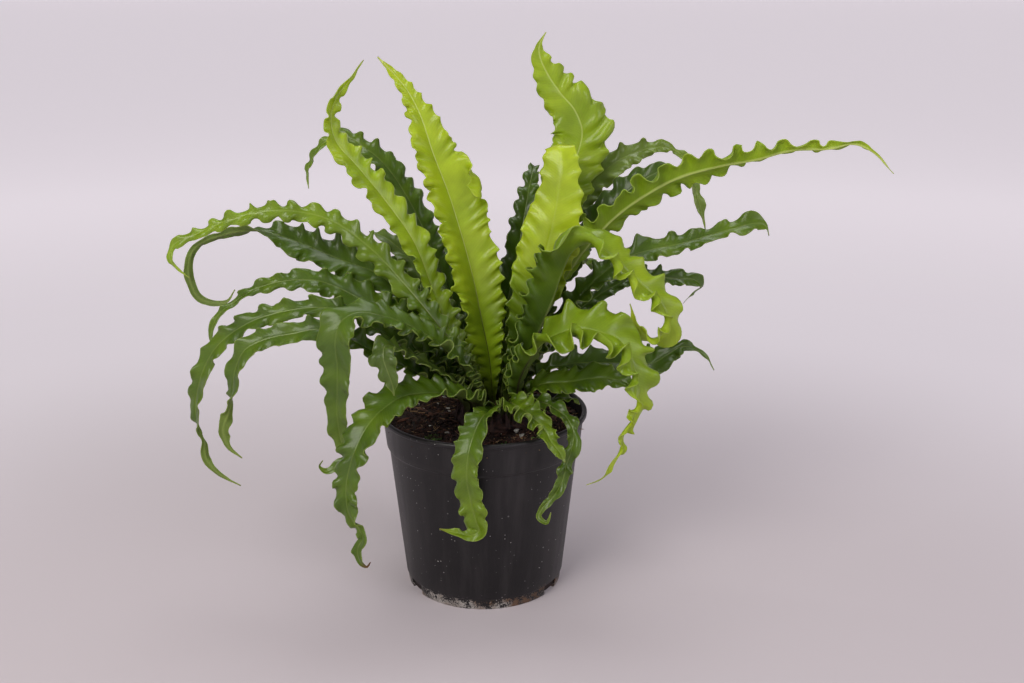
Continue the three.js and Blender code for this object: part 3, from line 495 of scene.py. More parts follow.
     "heading": 20, "roll": (10, 42), "wave": [(0.05, 10), (0.4, 15)], "lobes": (-0.4, -0.4),
     "lobe": (2.5, 2.5),
     "rib": [(43, 20, 184, 11), (62, 28, 205, 13), (84, 36, 226, 14), (115, 42, 244, 15),
             (134, 45, 249, 15), (157, 46, 247, 16), (178, 47, 245, 13), (184, 48, 239, 8),
             (177, 49, 233, 6), (170, 50, 224, 2.5)]},
    {"name": "right_rim_young", "slot": "mid", "shade": (0.26, 0.34, 0.38), "root": (32, 342),
     "heading": 348, "roll": (10, 15), "wave": [(0.05, 9), (0.4, 11)],
     "rib": [(50, -11, 158, 8), (60, -12, 162, 11), (70, -13, 162, 9), (78, -14, 157, 3)]},
    {"name": "back_left_high", "slot": "mid", "shade": (0.22, 0.36, 0.46), "root": (18, 122),
     "heading": 112,
     "rib": [(-3, 34, 190, 14), (-13, 60, 225, 22), (-26, 88, 250, 26), (-40, 125, 260, 24),
             (-52, 160, 252, 17), (-60, 185, 231, 10), (-64, 198, 205, 6), (-66, 204, 182, 2.5)]},
    {"name": "back_middle_high", "slot": "mid", "shade": (0.22, 0.34, 0.44), "root": (20, 82),
     "heading": 88,
     "rib": [(14, 38, 186, 14), (15, 64, 212, 22), (14, 95, 232, 25), (15, 130, 238, 22),
             (15, 160, 228, 15), (14, 182, 207, 8), (13, 192, 186, 2.5)]},
    {"name": "back_right_high", "slot": "mid", "shade": (0.22, 0.32, 0.42), "root": (23, 62), "heading": 56,
     "rib": [(27, 42, 184, 13), (40, 66, 212, 20), (58, 94, 234, 24), (78, 122, 244, 22),
             (98, 148, 238, 15), (112, 166, 220, 8), (120, 176, 199, 2.5)]},
    {"name": "back_left_low", "slot": "mid", "shade": (0.2, 0.32, 0.42), "root": (25, 135), "heading": 136,
     "wave": [(0.05, 10), (0.4, 17)],
     "rib": [(-16, 38, 177, 13), (-36, 64, 198, 20), (-62, 92, 211, 23), (-92, 119, 211, 20),
             (-118, 142, 197, 13), (-134, 156, 176, 7), (-141, 162, 156, 2.5)]},
    {"name": "back_right_low", "slot": "mid", "shade": (0.2, 0.34, 0.42), "root": (29, 48), "heading": 42,
     "wave": [(0.05, 10), (0.4, 17)],
     "rib": [(40, 38, 172, 12), (62, 58, 186, 18), (90, 80, 192, 20), (116, 98, 184, 16),
             (136, 112, 164, 9), (146, 120, 144, 2.5)]},
    {"name": "back_middle_low", "slot": "mid", "shade": (0.22, 0.34, 0.42), "root": (27, 95), "heading": 92,
     "rib": [(7, 46, 169, 12), (5, 70, 181, 18), (2, 100, 185, 20), (-2, 128, 175, 16), (-4, 148, 155, 9),
             (-5, 158, 134, 2.5)]},
]
leafLook = {
    "dark": "#26390A", "mid": "#455D0D", "fresh": "#7A9316", "lime": "#A9BC20",
    "midAt": 0.33, "freshAt": 0.68,  # shades where those two stand, between dark at 0 and lime at 1
    "shadeAt": (0.08, 0.45, 1),  # shares of the length that root, middle and tip stand for
    # of these, the pale edge tint is a painted highlight along a blade's rim
    "dull": "#6E7A42", "ribPale": "#C3CF7C", "ribDark": "#2A171B", "paintedRimHighlight": "#AEBC58",
    # the base tint is a blade's dark brown foot, and it also paints the shade at the crown
    "base": "#2B2A14", "brown": "#5A3420",
    "veinSpacing": 2.4,  # real ones are about 1 mm apart, too fine to show
    "veinLean": 0.75, "veinWobble": 2.2,  # how far a vein runs forward for each mm out, and how it strays
    "tipTurns": 0.955, "tipBrown": 0.985,  # shares where a dying tip turns brown and is brown
    "endBrown": 0.25,  # how brown every tip ends
}
leafSkins = {
    "livingLeafUpper": {"bloom": 0, "ribReach": 0.85, "gloss": (0.38, 0.48), "coat": 0.3},
    "livingLeafUnderside": {"bloom": 0.42, "ribReach": 1.75, "gloss": (0.48, 0.58), "coat": 0},
}


def curvePoint(spots, t):
    # centripetal curve through the spots, with a straight start and end
    count = len(spots)
    ends = np.vstack([2 * spots[0] - spots[1], spots, 2 * spots[-1] - spots[-2]])
    at = np.clip(t, 0, 1) * (count - 1)
    i = np.minimum(at.astype(int), count - 2)
    w = (at - i)[:, None]
    a, b, c, d = ends[i], ends[i + 1], ends[i + 2], ends[i + 3]
    gap = [np.sqrt(np.linalg.norm(q - p, axis=1))[:, None] for p, q in ((a, b), (b, c), (c, d))]
    pullB = ((b - a) / gap[0] - (c - a) / (gap[0] + gap[1]) + (c - b) / gap[1]) * gap[1]
    pullC = ((c - b) / gap[1] - (d - b) / (gap[1] + gap[2]) + (d - c) / gap[2]) * gap[1]
    return b + pullB * w + (3 * (c - b) - 2 * pullB - pullC) * w ** 2 + (2 * (b - c) + pullB + pullC) * w ** 3


def drift(key, along, seed):
    amount, span = ruffle[key]
    return amount * wander(along, span, seed)


def midribFrames(frond):
    # points, directions and half width at even steps along the midrib
    distance, direction = frond["root"][0], math.radians(frond["root"][1])
    x, y = crown["middle"]
    spots = []
    for grow, z, width in (blade["foot"], blade["neck"]):
        reach = distance * grow
        spots.append((x + reach * math.cos(direction), y + reach * math.sin(direction), z, width))
    spots = np.array([*spots, *frond["rib"]], float)
    course = spots[:, :3]
    fine = np.linspace(0, 1, blade["fineSteps"] + 1)
    chords = np.linalg.norm(np.diff(curvePoint(course, fine), axis=0), axis=1)
    lengths = np.concatenate([[0], np.cumsum(chords)])
    length = lengths[-1]
    share = np.linspace(0, 1, blade["steps"] + 1)
    t = np.interp(share * length, lengths, fine)
    nudge = 1e-4
    forward = curvePoint(course, t + nudge) - curvePoint(course, t - nudge)
    forward /= np.linalg.norm(forward, axis=1)[:, None]
    # the sideways direction is carried along the midrib without turning round it
    heading = math.radians(frond["heading"])
    side = np.array([-math.sin(heading), math.cos(heading), 0])
    sides = []
    for way in forward:
        side = side - way * side.dot(way)
        side = side / np.linalg.norm(side)
        sides.append(side)
    sides = np.array(sides)
    ups = np.cross(forward, sides)
    tail = drift("tailDrift", share * length, frond["seed"]) * ease(share, *blade["tailOver"])
    twist = between(frond["twist"], share)
    roll = np.radians(mix(*frond["roll"], ease(share, *blade["rollOver"])) + tail + twist)[:, None]
    half = np.interp(t * (len(spots) - 1), np.arange(len(spots)), spots[:, 3]) / 2
    window = np.hanning(blade["smoothing"])
    padded = np.pad(half, blade["smoothing"] // 2, mode="edge")
    return {
        "share": share, "length": length, "point": curvePoint(course, t), "forward": forward,
        "across": sides * np.cos(roll) + ups * np.sin(roll), "up": ups * np.cos(roll) - sides * np.sin(roll),
        "half": np.convolve(padded, window / window.sum(), mode="valid"),
    }


def bladeRows(frond):
    # where the rows of points stand along the blade, and what holds there for both halves
    spine = midribFrames(frond)
    length, steps = spine["length"], spine["share"]
    wave = between(frond["wave"], steps)
    wave = wave * (1 + drift("waveDrift", steps * length, frond["seed"] + 1))
    turns = np.concatenate([[0], np.cumsum((length / (len(wave) - 1)) / wave[1:])])
    count = int(turns[-1] * blade["rowsPerWave"]) + 1
    share = np.interp(np.linspace(0, turns[-1], count), turns, steps)
    rows = {key: np.stack([np.interp(share, steps, spine[key][:, k]) for k in range(3)], axis=1)
            for key in ("point", "forward", "across", "up")}
    half = np.interp(share, steps, spine["half"]) * between(frond["widen"], share)
    rows["half"] = half * (1 - blade["tipTaper"] * ease(share, blade["tipFrom"], 1))
    rows["share"], rows["along"] = share, share * length
    rows["wave"] = np.interp(share, steps, wave)
    rows["phase"] = np.interp(share, steps, turns) * 2 * math.pi
    rows["lift"] = ease(share, *ruffle["footOver"]) * between(frond["calm"], share)
    rows["broad"] = ease(rows["half"], *ruffle["broad"])
    return rows


def ruffleReach(curl):
    return np.interp(curl, ruffle["curl"], ruffle["height"]), np.interp(curl, ruffle["curl"], ruffle["lean"])


def rolledOver(frond, left, share):
    # a lobe that rolls in over the blade: how far it turns, how far out it starts and how much wider it is
    lobe = frond["rolledLobe"]
    if not lobe or lobe["left"] != left:
        return 0, 0.5, 0
    near = np.exp(-((share - lobe["at"]) / lobe["spread"]) ** 2)
    return np.radians(lobe["turn"]) * near, lobe["start"], lobe["wider"] * near


def columnReaches(half):
    # how far each column of points lies from the midrib
    near = [np.minimum(most, half * part) for most, part in blade["nearRib"]]
    return [np.zeros_like(half), *near, *(mix(near[-1], half, part) for part in blade["columns"])]


def bladeSide(frond, rows, left):
    # columns of points from the midrib out to one margin, each with how far it is from the two
    side, own = (1, frond["seed"] + 20) if left else (-1, frond["seed"] + 40)
    share, along, wave, lift, broad = (rows[key] for key in ("share", "along", "wave", "lift", "broad"))
    fold = np.radians(between(frond["folds"][left], share))
    turn, rollStart, wider = rolledOver(frond, left, share)
    half = rows["half"] + wider
    curl = between(frond["curls"][left], share)
    height, lean = ruffleReach(np.clip(curl * (1 + drift("curlDrift", along, own)), *ruffle["curlRange"]))
    height = np.minimum(height * wave, ruffle["heightShare"] * half + ruffle["heightSpare"]) * lift
    phase = frond["pace"][left] * rows["phase"] + drift("phaseDrift", along, own + 1)
    widening = drift("widthDrift", along, own + 2)
    # where the margin has round lobes, domed like a spoon, and where it has points
    kind = np.tanh(ruffle["kindSharpness"] * (frond["lobes"][left] + drift("kindDrift", along, own + 3)))
    domed, spiked = np.maximum(kind, 0), np.maximum(-kind, 0)
    cup = np.radians(frond["cup"][left]) * ease(rows["half"], *ruffle["cupFull"])
    lobe = np.minimum(frond["lobe"][left], ruffle["lobeShare"] * half) * lift
    still, pleat = ruffle["still"] * broad, frond["pleat"] * broad
    columns, lastReach, sideways, upwards = [], 0, 0, 0
    for reach in columnReaches(half):
        v = reach / half
        rise = np.clip((v - still) / (1 - still), 0, 1)
        grow = pleat * v + (1 - pleat) * rise ** mix(*ruffle["growth"], broad)
        slanted = phase + ruffle["slant"] * (1 - v) * half / wave * 2 * math.pi + (not left) * math.pi
        swing = np.cos(slanted) + ruffle["spike"] * spiked * rise * np.cos(2 * slanted)
        # the blade is laid outwards column by column, so a rolled lobe turns over by itself
        angle = fold + turn * ease(v, rollStart, rollStart + ruffle["rollWithin"])
        angle = angle - cup * domed * lift * ease(v, ruffle["cupFrom"], 1) * (0.5 + 0.5 * np.cos(slanted))
        sideways = sideways + (reach - lastReach) * np.cos(angle)
        upwards = upwards + (reach - lastReach) * np.sin(angle)
        lastReach = reach
        # round lobes meet in sharp notches, and points stand between round ones
        roundLobe = 2 * np.abs(np.cos(slanted / 2)) - ruffle["lobeMean"]
        spike = ruffle["lobeMean"] - 2 * np.abs(np.sin(slanted / 2))
        extra = reach * ease(v, ruffle["widenFrom"], 1) * widening
        extra = extra - ruffle["drawIn"] * height * grow * swing ** 2
        extra = extra + lobe * rise ** 2 * (domed * roundLobe + spiked * spike)
        bump = height * grow * swing
        hump = blade["midribRise"] * np.exp(-(reach / blade["midribSpread"]) ** 2)
        hump = hump * ease(half, *blade["midribFull"])
        outX = sideways + extra * np.cos(angle) - bump * np.sin(angle) * ruffle["across"]
        outZ = upwards + extra * np.sin(angle) + bump * mix(1, np.cos(angle), ruffle["across"]) - hump
        shift = lean * np.sin(2 * slanted) - ruffle["spikeLean"] * spiked * np.sin(slanted)
        point = rows["point"] + rows["across"] * (side * outX)[:, None] + rows["up"] * outZ[:, None]
        point = point + rows["forward"] * (wave * lift * grow ** ruffle["leanGrowth"] * shift)[:, None]
        columns.append((point, side * reach, half - reach))
    return columns


def bladePoints(frond):
    # rows of points across the blade, and what the leaf's colours need to know at each
    rows = bladeRows(frond)
    right, left = bladeSide(frond, rows, False), bladeSide(frond, rows, True)
    points, fromRib, toEdge = (np.stack(part, axis=1) for part in zip(*right[::-1], *left[1:]))
    share, along, shade = rows["share"], rows["along"], frond["shade"]
    shades = shade if isinstance(shade, list) else list(zip(leafLook["shadeAt"], shade))
    brown = frond["tipBrown"] * ease(share, leafLook["tipTurns"], leafLook["tipBrown"])
    brown = brown + leafLook["endBrown"] * ease(share, leafLook["tipBrown"], 1)
    at, spread, strength = frond["tinge"]
    # shade gives each blade its green, with painted light and shade in it: darker where the blade lies in
    # shade, paler where lit
    return {
        "point": points * mm, "fromRib": fromRib, "toEdge": toEdge, "along": along, "share": share,
        "shade": between(shades, share) + drift("shadeDrift", along, frond["seed"] + 7),
        "brown": np.clip(brown + strength * np.exp(-((share - at) / spread) ** 2), 0, 1),
        "bloom": np.where(fromRib < 0, *frond["bloom"]), "midrib": np.full_like(share, frond["midrib"]),
        "thick": np.clip(rows["half"] / blade["thinBelow"], blade["thinnest"], 1),
    }


def setAttribute(mesh, name, values):
    attribute = mesh.attributes.new(name, "FLOAT", "POINT")
    attribute.data.foreach_set("value", np.asarray(values, np.float32).ravel())


def growFrond(frond):
    # a flat grid takes the blade's shape row by row, and then its thickness
    rows = bladePoints(frond)
    rowCount, columnCount = rows["point"].shape[:2]
    deselectAll()
    bpy.ops.mesh.primitive_grid_add(x_subdivisions=columnCount - 1, y_subdivisions=rowCount - 1, size=2)
    mesh = bpy.context.object.data
    grid = readPoints(mesh)
    column = np.rint((1 - grid[:, 0]) / 2 * (columnCount - 1)).astype(int)  # turned so that the face looks up
    row = np.rint((grid[:, 1] + 1) / 2 * (rowCount - 1)).astype(int)
    mesh.vertices.foreach_set("co", rows["point"][row, column].ravel())
    for name in ("fromRib", "toEdge", "bloom"):
        setAttribute(mesh, name, rows[name][row, column])
    for name in ("along", "share", "shade", "brown", "midrib"):
        setAttribute(mesh, name, rows[name][row])
    piece = named(f"blade_{frond['name']}", f"frond_{frond['slot']}", f"frond_{frond['name']}")
    piece.data.materials.append(leafAbove)
    piece.data.materials.append(leafBelow)
    thinner = piece.vertex_groups.new(name="thick")
    for number, thick in enumerate(rows["thick"]):
        thinner.add(np.flatnonzero(row == number).tolist(), float(thick), "REPLACE")
    applyModifier(piece, "SOLIDIFY", thickness=2 * blade["halfThickness"] * mm, offset=0, material_offset=1,
                  vertex_group="thick")
    bpy.ops.object.shade_smooth()


def leafMaterial(name):
    # waxy skin over living tissue: pale midrib that darkens to the root, thin pale margin painted as a rim
    # highlight, slanting veins
    skin = leafSkins[name]
    material, tree, place = newMaterial(name)
    value = {key: addNode(tree, "Attribute", {"attribute_name": key}).outputs["Fac"]
             for key in ("fromRib", "toEdge", "along", "share", "shade", "brown", "bloom", "midrib")}
    # the green follows shade, which holds each blade's age and also painted light and shade
    greens = addNode(tree, "ValToRGB", {}, {"Fac": value["shade"]})
    stops = greens.color_ramp.elements
    stops[0].color = colour(leafLook["dark"])
    stops[1].color = colour(leafLook["lime"])
    for key in ("mid", "fresh"):
        stops.new(leafLook[key + "At"]).color = colour(leafLook[key])
    # uneven tissue, in patches of about 16 mm with finer ones down to 2 mm
    patches = addNode(tree, "TexNoise", {"Scale": 62, "Detail": 3, "Roughness": 0.6}, {"Vector": place})
    patchShare = addNode(tree, "MapRange", {"From Min": 0.3, "From Max": 0.7, "To Min": 0.84, "To Max": 1.12},
                         {"Value": patches})
    tissue = addNode(tree, "VectorMath", {"operation": "SCALE"}, {0: greens, "Scale": patchShare})
    # veins run out from the midrib and forward, so they follow along minus the distance from the rib
    distance = addNode(tree, "Math", {"operation": "ABSOLUTE"}, {0: value["fromRib"]})
    slant = addNode(tree, "Math", {"operation": "MULTIPLY_ADD", 1: -leafLook["veinLean"]},
                    {0: distance, 2: value["along"]})
    wobble = addNode(tree, "Math", {"operation": "MULTIPLY_ADD", 1: leafLook["veinWobble"]},
                     {0: patches, 2: slant})
    veinTurn = addNode(tree, "Math", {"operation": "MULTIPLY", 1: 2 * math.pi / leafLook["veinSpacing"]},
                       {0: wobble})
    veins = addNode(tree, "Math", {"operation": "SINE"}, {0: veinTurn})
    veinShare = addNode(tree, "MapRange", {"From Min": 0.2, "To Max": 0.07}, {"Value": veins})
    veined = addNode(tree, "Mix", {"data_type": "RGBA", "blend_type": "SOFT_LIGHT", tintB: (0, 0, 0, 1)},
                     {0: veinShare, tintA: tissue})
    # a dull bloom, all over the underside and on a few old blades
    bloom = addNode(tree, "Math", {"operation": "ADD", 1: skin["bloom"], "use_clamp": True},
                    {0: value["bloom"]})
    dulled = addNode(tree, "Mix", {"data_type": "RGBA", tintB: colour(leafLook["dull"])},
                     {0: bloom, tintA: veined.outputs[tintOut]})
    # thin pale margin over the last 0.7 mm: a painted highlight where the rim catches the light
    edge = addNode(tree, "MapRange", {"From Min": 0.7, "From Max": 0.1, "To Max": 0.2},
                   {"Value": value["toEdge"]})
    rimHighlighted = addNode(tree, "Mix", {"data_type": "RGBA", tintB: colour(leafLook["paintedRimHighlight"])},
                    {0: edge, tintA: dulled.outputs[tintOut]})
    # midrib, pale along the blade and purple-black towards the root
    ribReach = addNode(tree, "MapRange", {"From Min": skin["ribReach"], "From Max": 0.35},
                       {"Value": distance})
    ribDark = addNode(tree, "MapRange", {"From Min": 0.44, "From Max": 0.24}, {"Value": value["share"]})
    darkShow = addNode(tree, "Math", {"operation": "MULTIPLY", 1: 0.75}, {0: ribDark})
    ribShow = addNode(tree, "Math", {"operation": "MAXIMUM"}, {0: darkShow, 1: value["midrib"]})
    ribLine = addNode(tree, "Math", {"operation": "MULTIPLY"}, {0: ribReach, 1: ribShow})
    ribTint = addNode(
        tree, "Mix",
        {"data_type": "RGBA", tintA: colour(leafLook["ribPale"]), tintB: colour(leafLook["ribDark"])},
        {0: ribDark},
    )
    ribbed = addNode(tree, "Mix", {"data_type": "RGBA"},
                     {0: ribLine, tintA: rimHighlighted.outputs[tintOut], tintB: ribTint.outputs[tintOut]})
    # the foot of the blade is dark brown and also carries painted shade among the crowded bases at the crown,
    # and a dying tip is brown
    foot = addNode(tree, "MapRange", {"From Min": 34, "From Max": 12, "To Max": 0.9},
                   {"Value": value["along"]})
    footDarkAndShaded = addNode(tree, "Mix", {"data_type": "RGBA", tintB: colour(leafLook["base"])},
                     {0: foot, tintA: ribbed.outputs[tintOut]})
    tipped = addNode(tree, "Mix", {"data_type": "RGBA", tintB: colour(leafLook["brown"])},
                     {0: value["brown"], tintA: footDarkAndShaded.outputs[tintOut]})
    # the wax is uneven too, and the veins and a fine grain show in its shine
    gloss = addNode(
        tree, "MapRange",
        {"From Min": 0.3, "From Max": 0.7, "To Min": skin["gloss"][0], "To Max": skin["gloss"][1]},
        {"Value": patches},
    )
    grain = addNode(tree, "TexNoise", {"Scale": 420, "Detail": 2}, {"Vector": place})
    relief = addNode(tree, "Math", {"operation": "MULTIPLY_ADD", 1: 0.16}, {0: veins, 2: grain})
    bump = addNode(tree, "Bump", {"Strength": 0.22, "Distance": 0.0004}, {"Height": relief})
    surface = addNode(
        tree, "BsdfPrincipled",
        {"IOR": 1.45, "Specular IOR Level": 0.3, "Coat Weight": skin["coat"], "Coat Roughness": 0.18,
         "Subsurface Weight": 0.12, "Subsurface Radius": (0.6, 1.0, 0.2), "Subsurface Scale": 0.003},
        {"Base Color": tipped.outputs[tintOut], "Roughness": gloss, "Normal": bump},
    )
    addNode(tree, "OutputMaterial", {}, {"Surface": surface})
    return material


leafAbove = leafMaterial("livingLeafUpper")
leafBelow = leafMaterial("livingLeafUnderside")
for number, frond in enumerate(fronds):
    growFrond({**usualFrond, **frond, "seed": blade["firstSeed"] + blade["seedStep"] * number})
print("fronds grown:", len(fronds))


# Pot: injection-moulded black polypropylene, which gives a satin sheen and picks up lime and dust

pot = {
    "height": 150, "rimRadius": 85, "baseRadius": 65, "collarHeight": 28, "collarStep": 1.8, "lip": 2.4,
    "footStep": 0.9, "footHeight": 9.6, "wall": 1.6, "floor": 2.4,
    "sides": 128, "smoothBelow": 38,  # degrees
}
drain = {"width": 17, "height": 9, "reach": 8, "past": 10, "rounding": 1.2, "turns": (-33, 88, 209)}
potLook = {
    "plastic": "#0E0C0E", "scuff": "#383435", "speck": "#C9C6C4", "lime": "#A9A49E", "rust": "#66503F",
    "specks": ((210, 0.93, 0.18), (430, 0.84, 0.22)),  # cells per metre, how rare a dot is and its size there
    "crustHeight": 11,
}


def potProfile():
    # radius and height from the middle of the underside, out and up the wall, over the lip and down inside
    top, rim, base, thick = pot["height"], pot["rimRadius"], pot["baseRadius"], pot["wall"]
    step, stepTop, collarFoot = pot["footStep"], pot["footHeight"], pot["height"] - pot["collarHeight"]
    lean = (rim - pot["lip"] - pot["collarStep"] - base) / top

    def wall(z):
        return base + lean * z

    def collar(z):
        return wall(z) + pot["collarStep"]

    foot = [(base - step - 1.2, 0), (base - step - 0.35, 0.3), (wall(1.1) - step, 1.1),
            (wall(stepTop - 0.8) - step, stepTop - 0.8), (wall(stepTop) - 0.2, stepTop)]
    side = [(wall(z), z) for z in (stepTop + 0.6, 20, 40, 60, 80, 100, collarFoot - 3, collarFoot - 1.2)]
    shoulder = [(wall(collarFoot) + 0.25, collarFoot - 0.5), (collar(collarFoot) - 0.35, collarFoot + 0.1)]
    band = [(collar(z), z) for z in (collarFoot + 1, collarFoot + 6, top - 16, top - 5.4)]
    lip = [(collar(top - 4.4) + 0.2, top - 4.4), (rim - 0.7, top - 3.7), (rim - 0.15, top - 3),
           (rim, top - 2.1), (rim - 0.15, top - 1.1), (rim - 0.6, top - 0.4), (rim - 1.3, top - 0.05),
           (collar(top) - 0.6, top - 0.2), (collar(top) - thick + 0.1, top - 0.9)]
    inside = [(collar(z) - thick, z) for z in (top - 3, top - 14, collarFoot + 1.2)]
    inside += [(wall(z) - thick, z) for z in (collarFoot - 1.5, 60, pot["floor"] + 1)]
    return [*foot, *side, *shoulder, *band, *lip, *inside, (wall(0) - thick - 1, pot["floor"])]


def extrudeRing(radius, z, fromRadius, fromZ):
    bpy.ops.mesh.extrude_region_move(TRANSFORM_OT_translate={"value": (0, 0, (z - fromZ) * mm)})
    scale = radius / fromRadius
    bpy.ops.transform.resize(value=(scale, scale, 1), center_override=(0, 0, z * mm))


def mouldPot():
    profile = potProfile()
    radius, z = profile[0]
    deselectAll()
    bpy.ops.mesh.primitive_circle_add(vertices=pot["sides"], radius=radius * mm, location=(0, 0, 0))
    bpy.ops.object.mode_set(mode="EDIT")
    bpy.ops.mesh.select_mode(type="EDGE")
    bpy.ops.mesh.select_all(action="SELECT")
    for nextRadius, nextZ in profile[1:]:
        extrudeRing(nextRadius, nextZ, radius, z)
        radius, z = nextRadius, nextZ
    bpy.ops.mesh.edge_face_add()  # floor inside
    bpy.ops.mesh.select_all(action="DESELECT")
    bpy.ops.object.mode_set(mode="OBJECT")
    mesh = bpy.context.object.data
    for edge in mesh.edges:
        edge.select = all(mesh.vertices[v].co.z < 1e-5 for v in edge.vertices)
    bpy.ops.object.mode_set(mode="EDIT")
    bpy.ops.mesh.edge_face_add()  # underside
    bpy.ops.mesh.select_all(action="SELECT")
    bpy.ops.mesh.normals_make_consistent(inside=False)
    bpy.ops.object.mode_set(mode="OBJECT")
    piece = named("potShell", "pot", "pot")
    for turn in drain["turns"]:
        cutDrain(piece, math.radians(turn))
    selectOnly(piece)
    bpy.ops.object.shade_smooth_by_angle(angle=math.radians(pot["smoothBelow"]))
    piece.data.materials.append(potMaterial())


def cutDrain(piece, angle):
    # a wide low gap where the wall meets the floor
    deselectAll()
    middle = (pot["baseRadius"] + (drain["past"] - drain["reach"]) / 2) * mm
    bpy.ops.mesh.primitive_cube_add(
        size=1, location=(middle * math.cos(angle), middle * math.sin(angle), 0), rotation=(0, 0, angle),
        scale=((drain["reach"] + drain["past"]) * mm, drain["width"] * mm, 2 * drain["height"] * mm),
    )
    notch = bpy.context.object
    bpy.ops.object.mode_set(mode="EDIT")
    bpy.ops.mesh.select_all(action="SELECT")
    bpy.ops.mesh.bevel(offset=drain["rounding"] * mm, segments=3)
    bpy.ops.object.mode_set(mode="OBJECT")
    applyModifier(piece, "BOOLEAN", object=notch, operation="DIFFERENCE", solver="EXACT")
    bpy.data.objects.remove(notch)


def potMaterial():
    # moulded polypropylene: near black with a purple cast, dusty scuffs, lime specks, and a crust at the foot
    material, tree, place = newMaterial("mouldedPolypropylene")
    height = addNode(tree, "SeparateXYZ", {}, {0: place}).outputs["Z"]
    # scuffs of about 13 mm, drawn out upwards
    stretched = addNode(tree, "Mapping", {"Scale": (1, 1, 0.07)}, {"Vector": place})
    scuffs = addNode(tree, "TexNoise", {"Scale": 75, "Detail": 6, "Roughness": 0.62}, {"Vector": stretched})
    scuffShare = addNode(tree, "MapRange", {"From Min": 0.45, "From Max": 0.8, "To Max": 0.6},
                         {"Value": scuffs})
    scuffed = addNode(
        tree, "Mix",
        {"data_type": "RGBA", tintA: colour(potLook["plastic"]), tintB: colour(potLook["scuff"])},
        {0: scuffShare},
    )
    # splashes of lime in loose groups: a few dots of 1.5 mm and many of 0.7 mm
    groups = addNode(tree, "TexNoise", {"Scale": 26, "Detail": 3}, {"Vector": place})
    grouped = addNode(tree, "MapRange", {"From Min": 0.44, "From Max": 0.6}, {"Value": groups})
    specked = scuffed
    for perMetre, rarest, dotSize in potLook["specks"]:
        cells = addNode(tree, "TexVoronoi", {"Scale": perMetre, "Randomness": 1}, {"Vector": place})
        dot = addNode(tree, "MapRange", {"From Min": dotSize, "From Max": dotSize * 0.5}, {"Value": cells})
        drawn = addNode(tree, "SeparateColor", {}, {0: cells.outputs["Color"]})
        rare = addNode(tree, "MapRange", {"From Min": rarest}, {"Value": drawn})
        dots = addNode(tree, "Math", {"operation": "MULTIPLY"}, {0: dot, 1: rare})
        speckShare = addNode(tree, "Math", {"operation": "MULTIPLY"}, {0: dots, 1: grouped})
        specked = addNode(tree, "Mix", {"data_type": "RGBA", tintB: colour(potLook["speck"])},
                          {0: speckShare, tintA: specked.outputs[tintOut]})
    # granular crust of lime and rust-brown dirt on the stepped foot, grains of 1 mm in drifts of 10 mm
    drifts = addNode(tree, "TexNoise", {"Scale": 95, "Detail": 3, "Roughness": 0.6}, {"Vector": place})
    grains = addNode(tree, "TexNoise", {"Scale": 720, "Detail": 2, "Roughness": 0.8}, {"Vector": place})
    crustTop = potLook["crustHeight"] * mm
    foot = addNode(
        tree, "MapRange", {"From Min": crustTop, "From Max": 0.001, "To Min": -0.16, "To Max": 0.12},
        {"Value": height},
    )
    driftFoot = addNode(tree, "Math", {"operation": "ADD"}, {0: drifts, 1: foot})
    crustRaw = addNode(tree, "Math", {"operation": "MULTIPLY_ADD", 1: 0.9}, {0: grains, 2: driftFoot})
    crust = addNode(tree, "MapRange", {"From Min": 0.94, "From Max": 1.06}, {"Value": crustRaw})
    low = addNode(tree, "MapRange", {"From Min": crustTop + 2 * mm, "From Max": crustTop * 0.7},
                  {"Value": height})
    crustShare = addNode(tree, "Math", {"operation": "MULTIPLY"}, {0: crust, 1: low})
    rust = addNode(tree, "TexNoise", {"Scale": 48, "Detail": 3}, {"Vector": place})
    rusty = addNode(tree, "MapRange", {"From Min": 0.46, "From Max": 0.6}, {"Value": rust})
    crustTint = addNode(
        tree, "Mix", {"data_type": "RGBA", tintA: colour(potLook["lime"]), tintB: colour(potLook["rust"])},
        {0: rusty},
    )
    crusted = addNode(tree, "Mix", {"data_type": "RGBA"},
                      {0: crustShare, tintA: specked.outputs[tintOut], tintB: crustTint.outputs[tintOut]})
    # scuffs dull the sheen, and the crust has none
    gloss = addNode(tree, "MapRange", {"From Min": 0.3, "From Max": 0.75, "To Min": 0.33, "To Max": 0.55},
                    {"Value": scuffs})
    roughness = addNode(tree, "Math", {"operation": "MAXIMUM"}, {0: gloss, 1: crustShare})
    grain = addNode(tree, "TexNoise", {"Scale": 900, "Detail": 2}, {"Vector": place})
    relief = addNode(tree, "Math", {"operation": "MULTIPLY_ADD", 1: 4}, {0: crustShare, 2: grain})
    bump = addNode(tree, "Bump", {"Strength": 0.25, "Distance": 0.0003}, {"Height": relief})
    surface = addNode(tree, "BsdfPrincipled", {"IOR": 1.49, "Specular IOR Level": 0.42},
                      {"Base Color": crusted.outputs[tintOut], "Roughness": roughness, "Normal": bump})
    addNode(tree, "OutputMaterial", {}, {"Surface": surface})
    return material


mouldPot()
print("pot made")


# Soil: damp bark and peat, dark red-brown and crumbly, with white perlite grains and a little moss

soil = {
    "top": 139, "foot": 2.8, "edge": 79.4, "footRadius": 62.9, "rings": 44, "sides": 144,
    "lump": 1.6, "lumpSpans": (9.5, 8, 5.5), "fine": 0.5,
    "wallGap": 1.5, "underCrown": 3, "tilt": 0.5,  # how loose grains keep to the soil, and how far they tilt
    "dark": "#100A09", "mid": "#281612", "light": "#4A2D23",
    "darkAt": 0.32, "midAt": 0.54, "lightAt": 0.78,
}
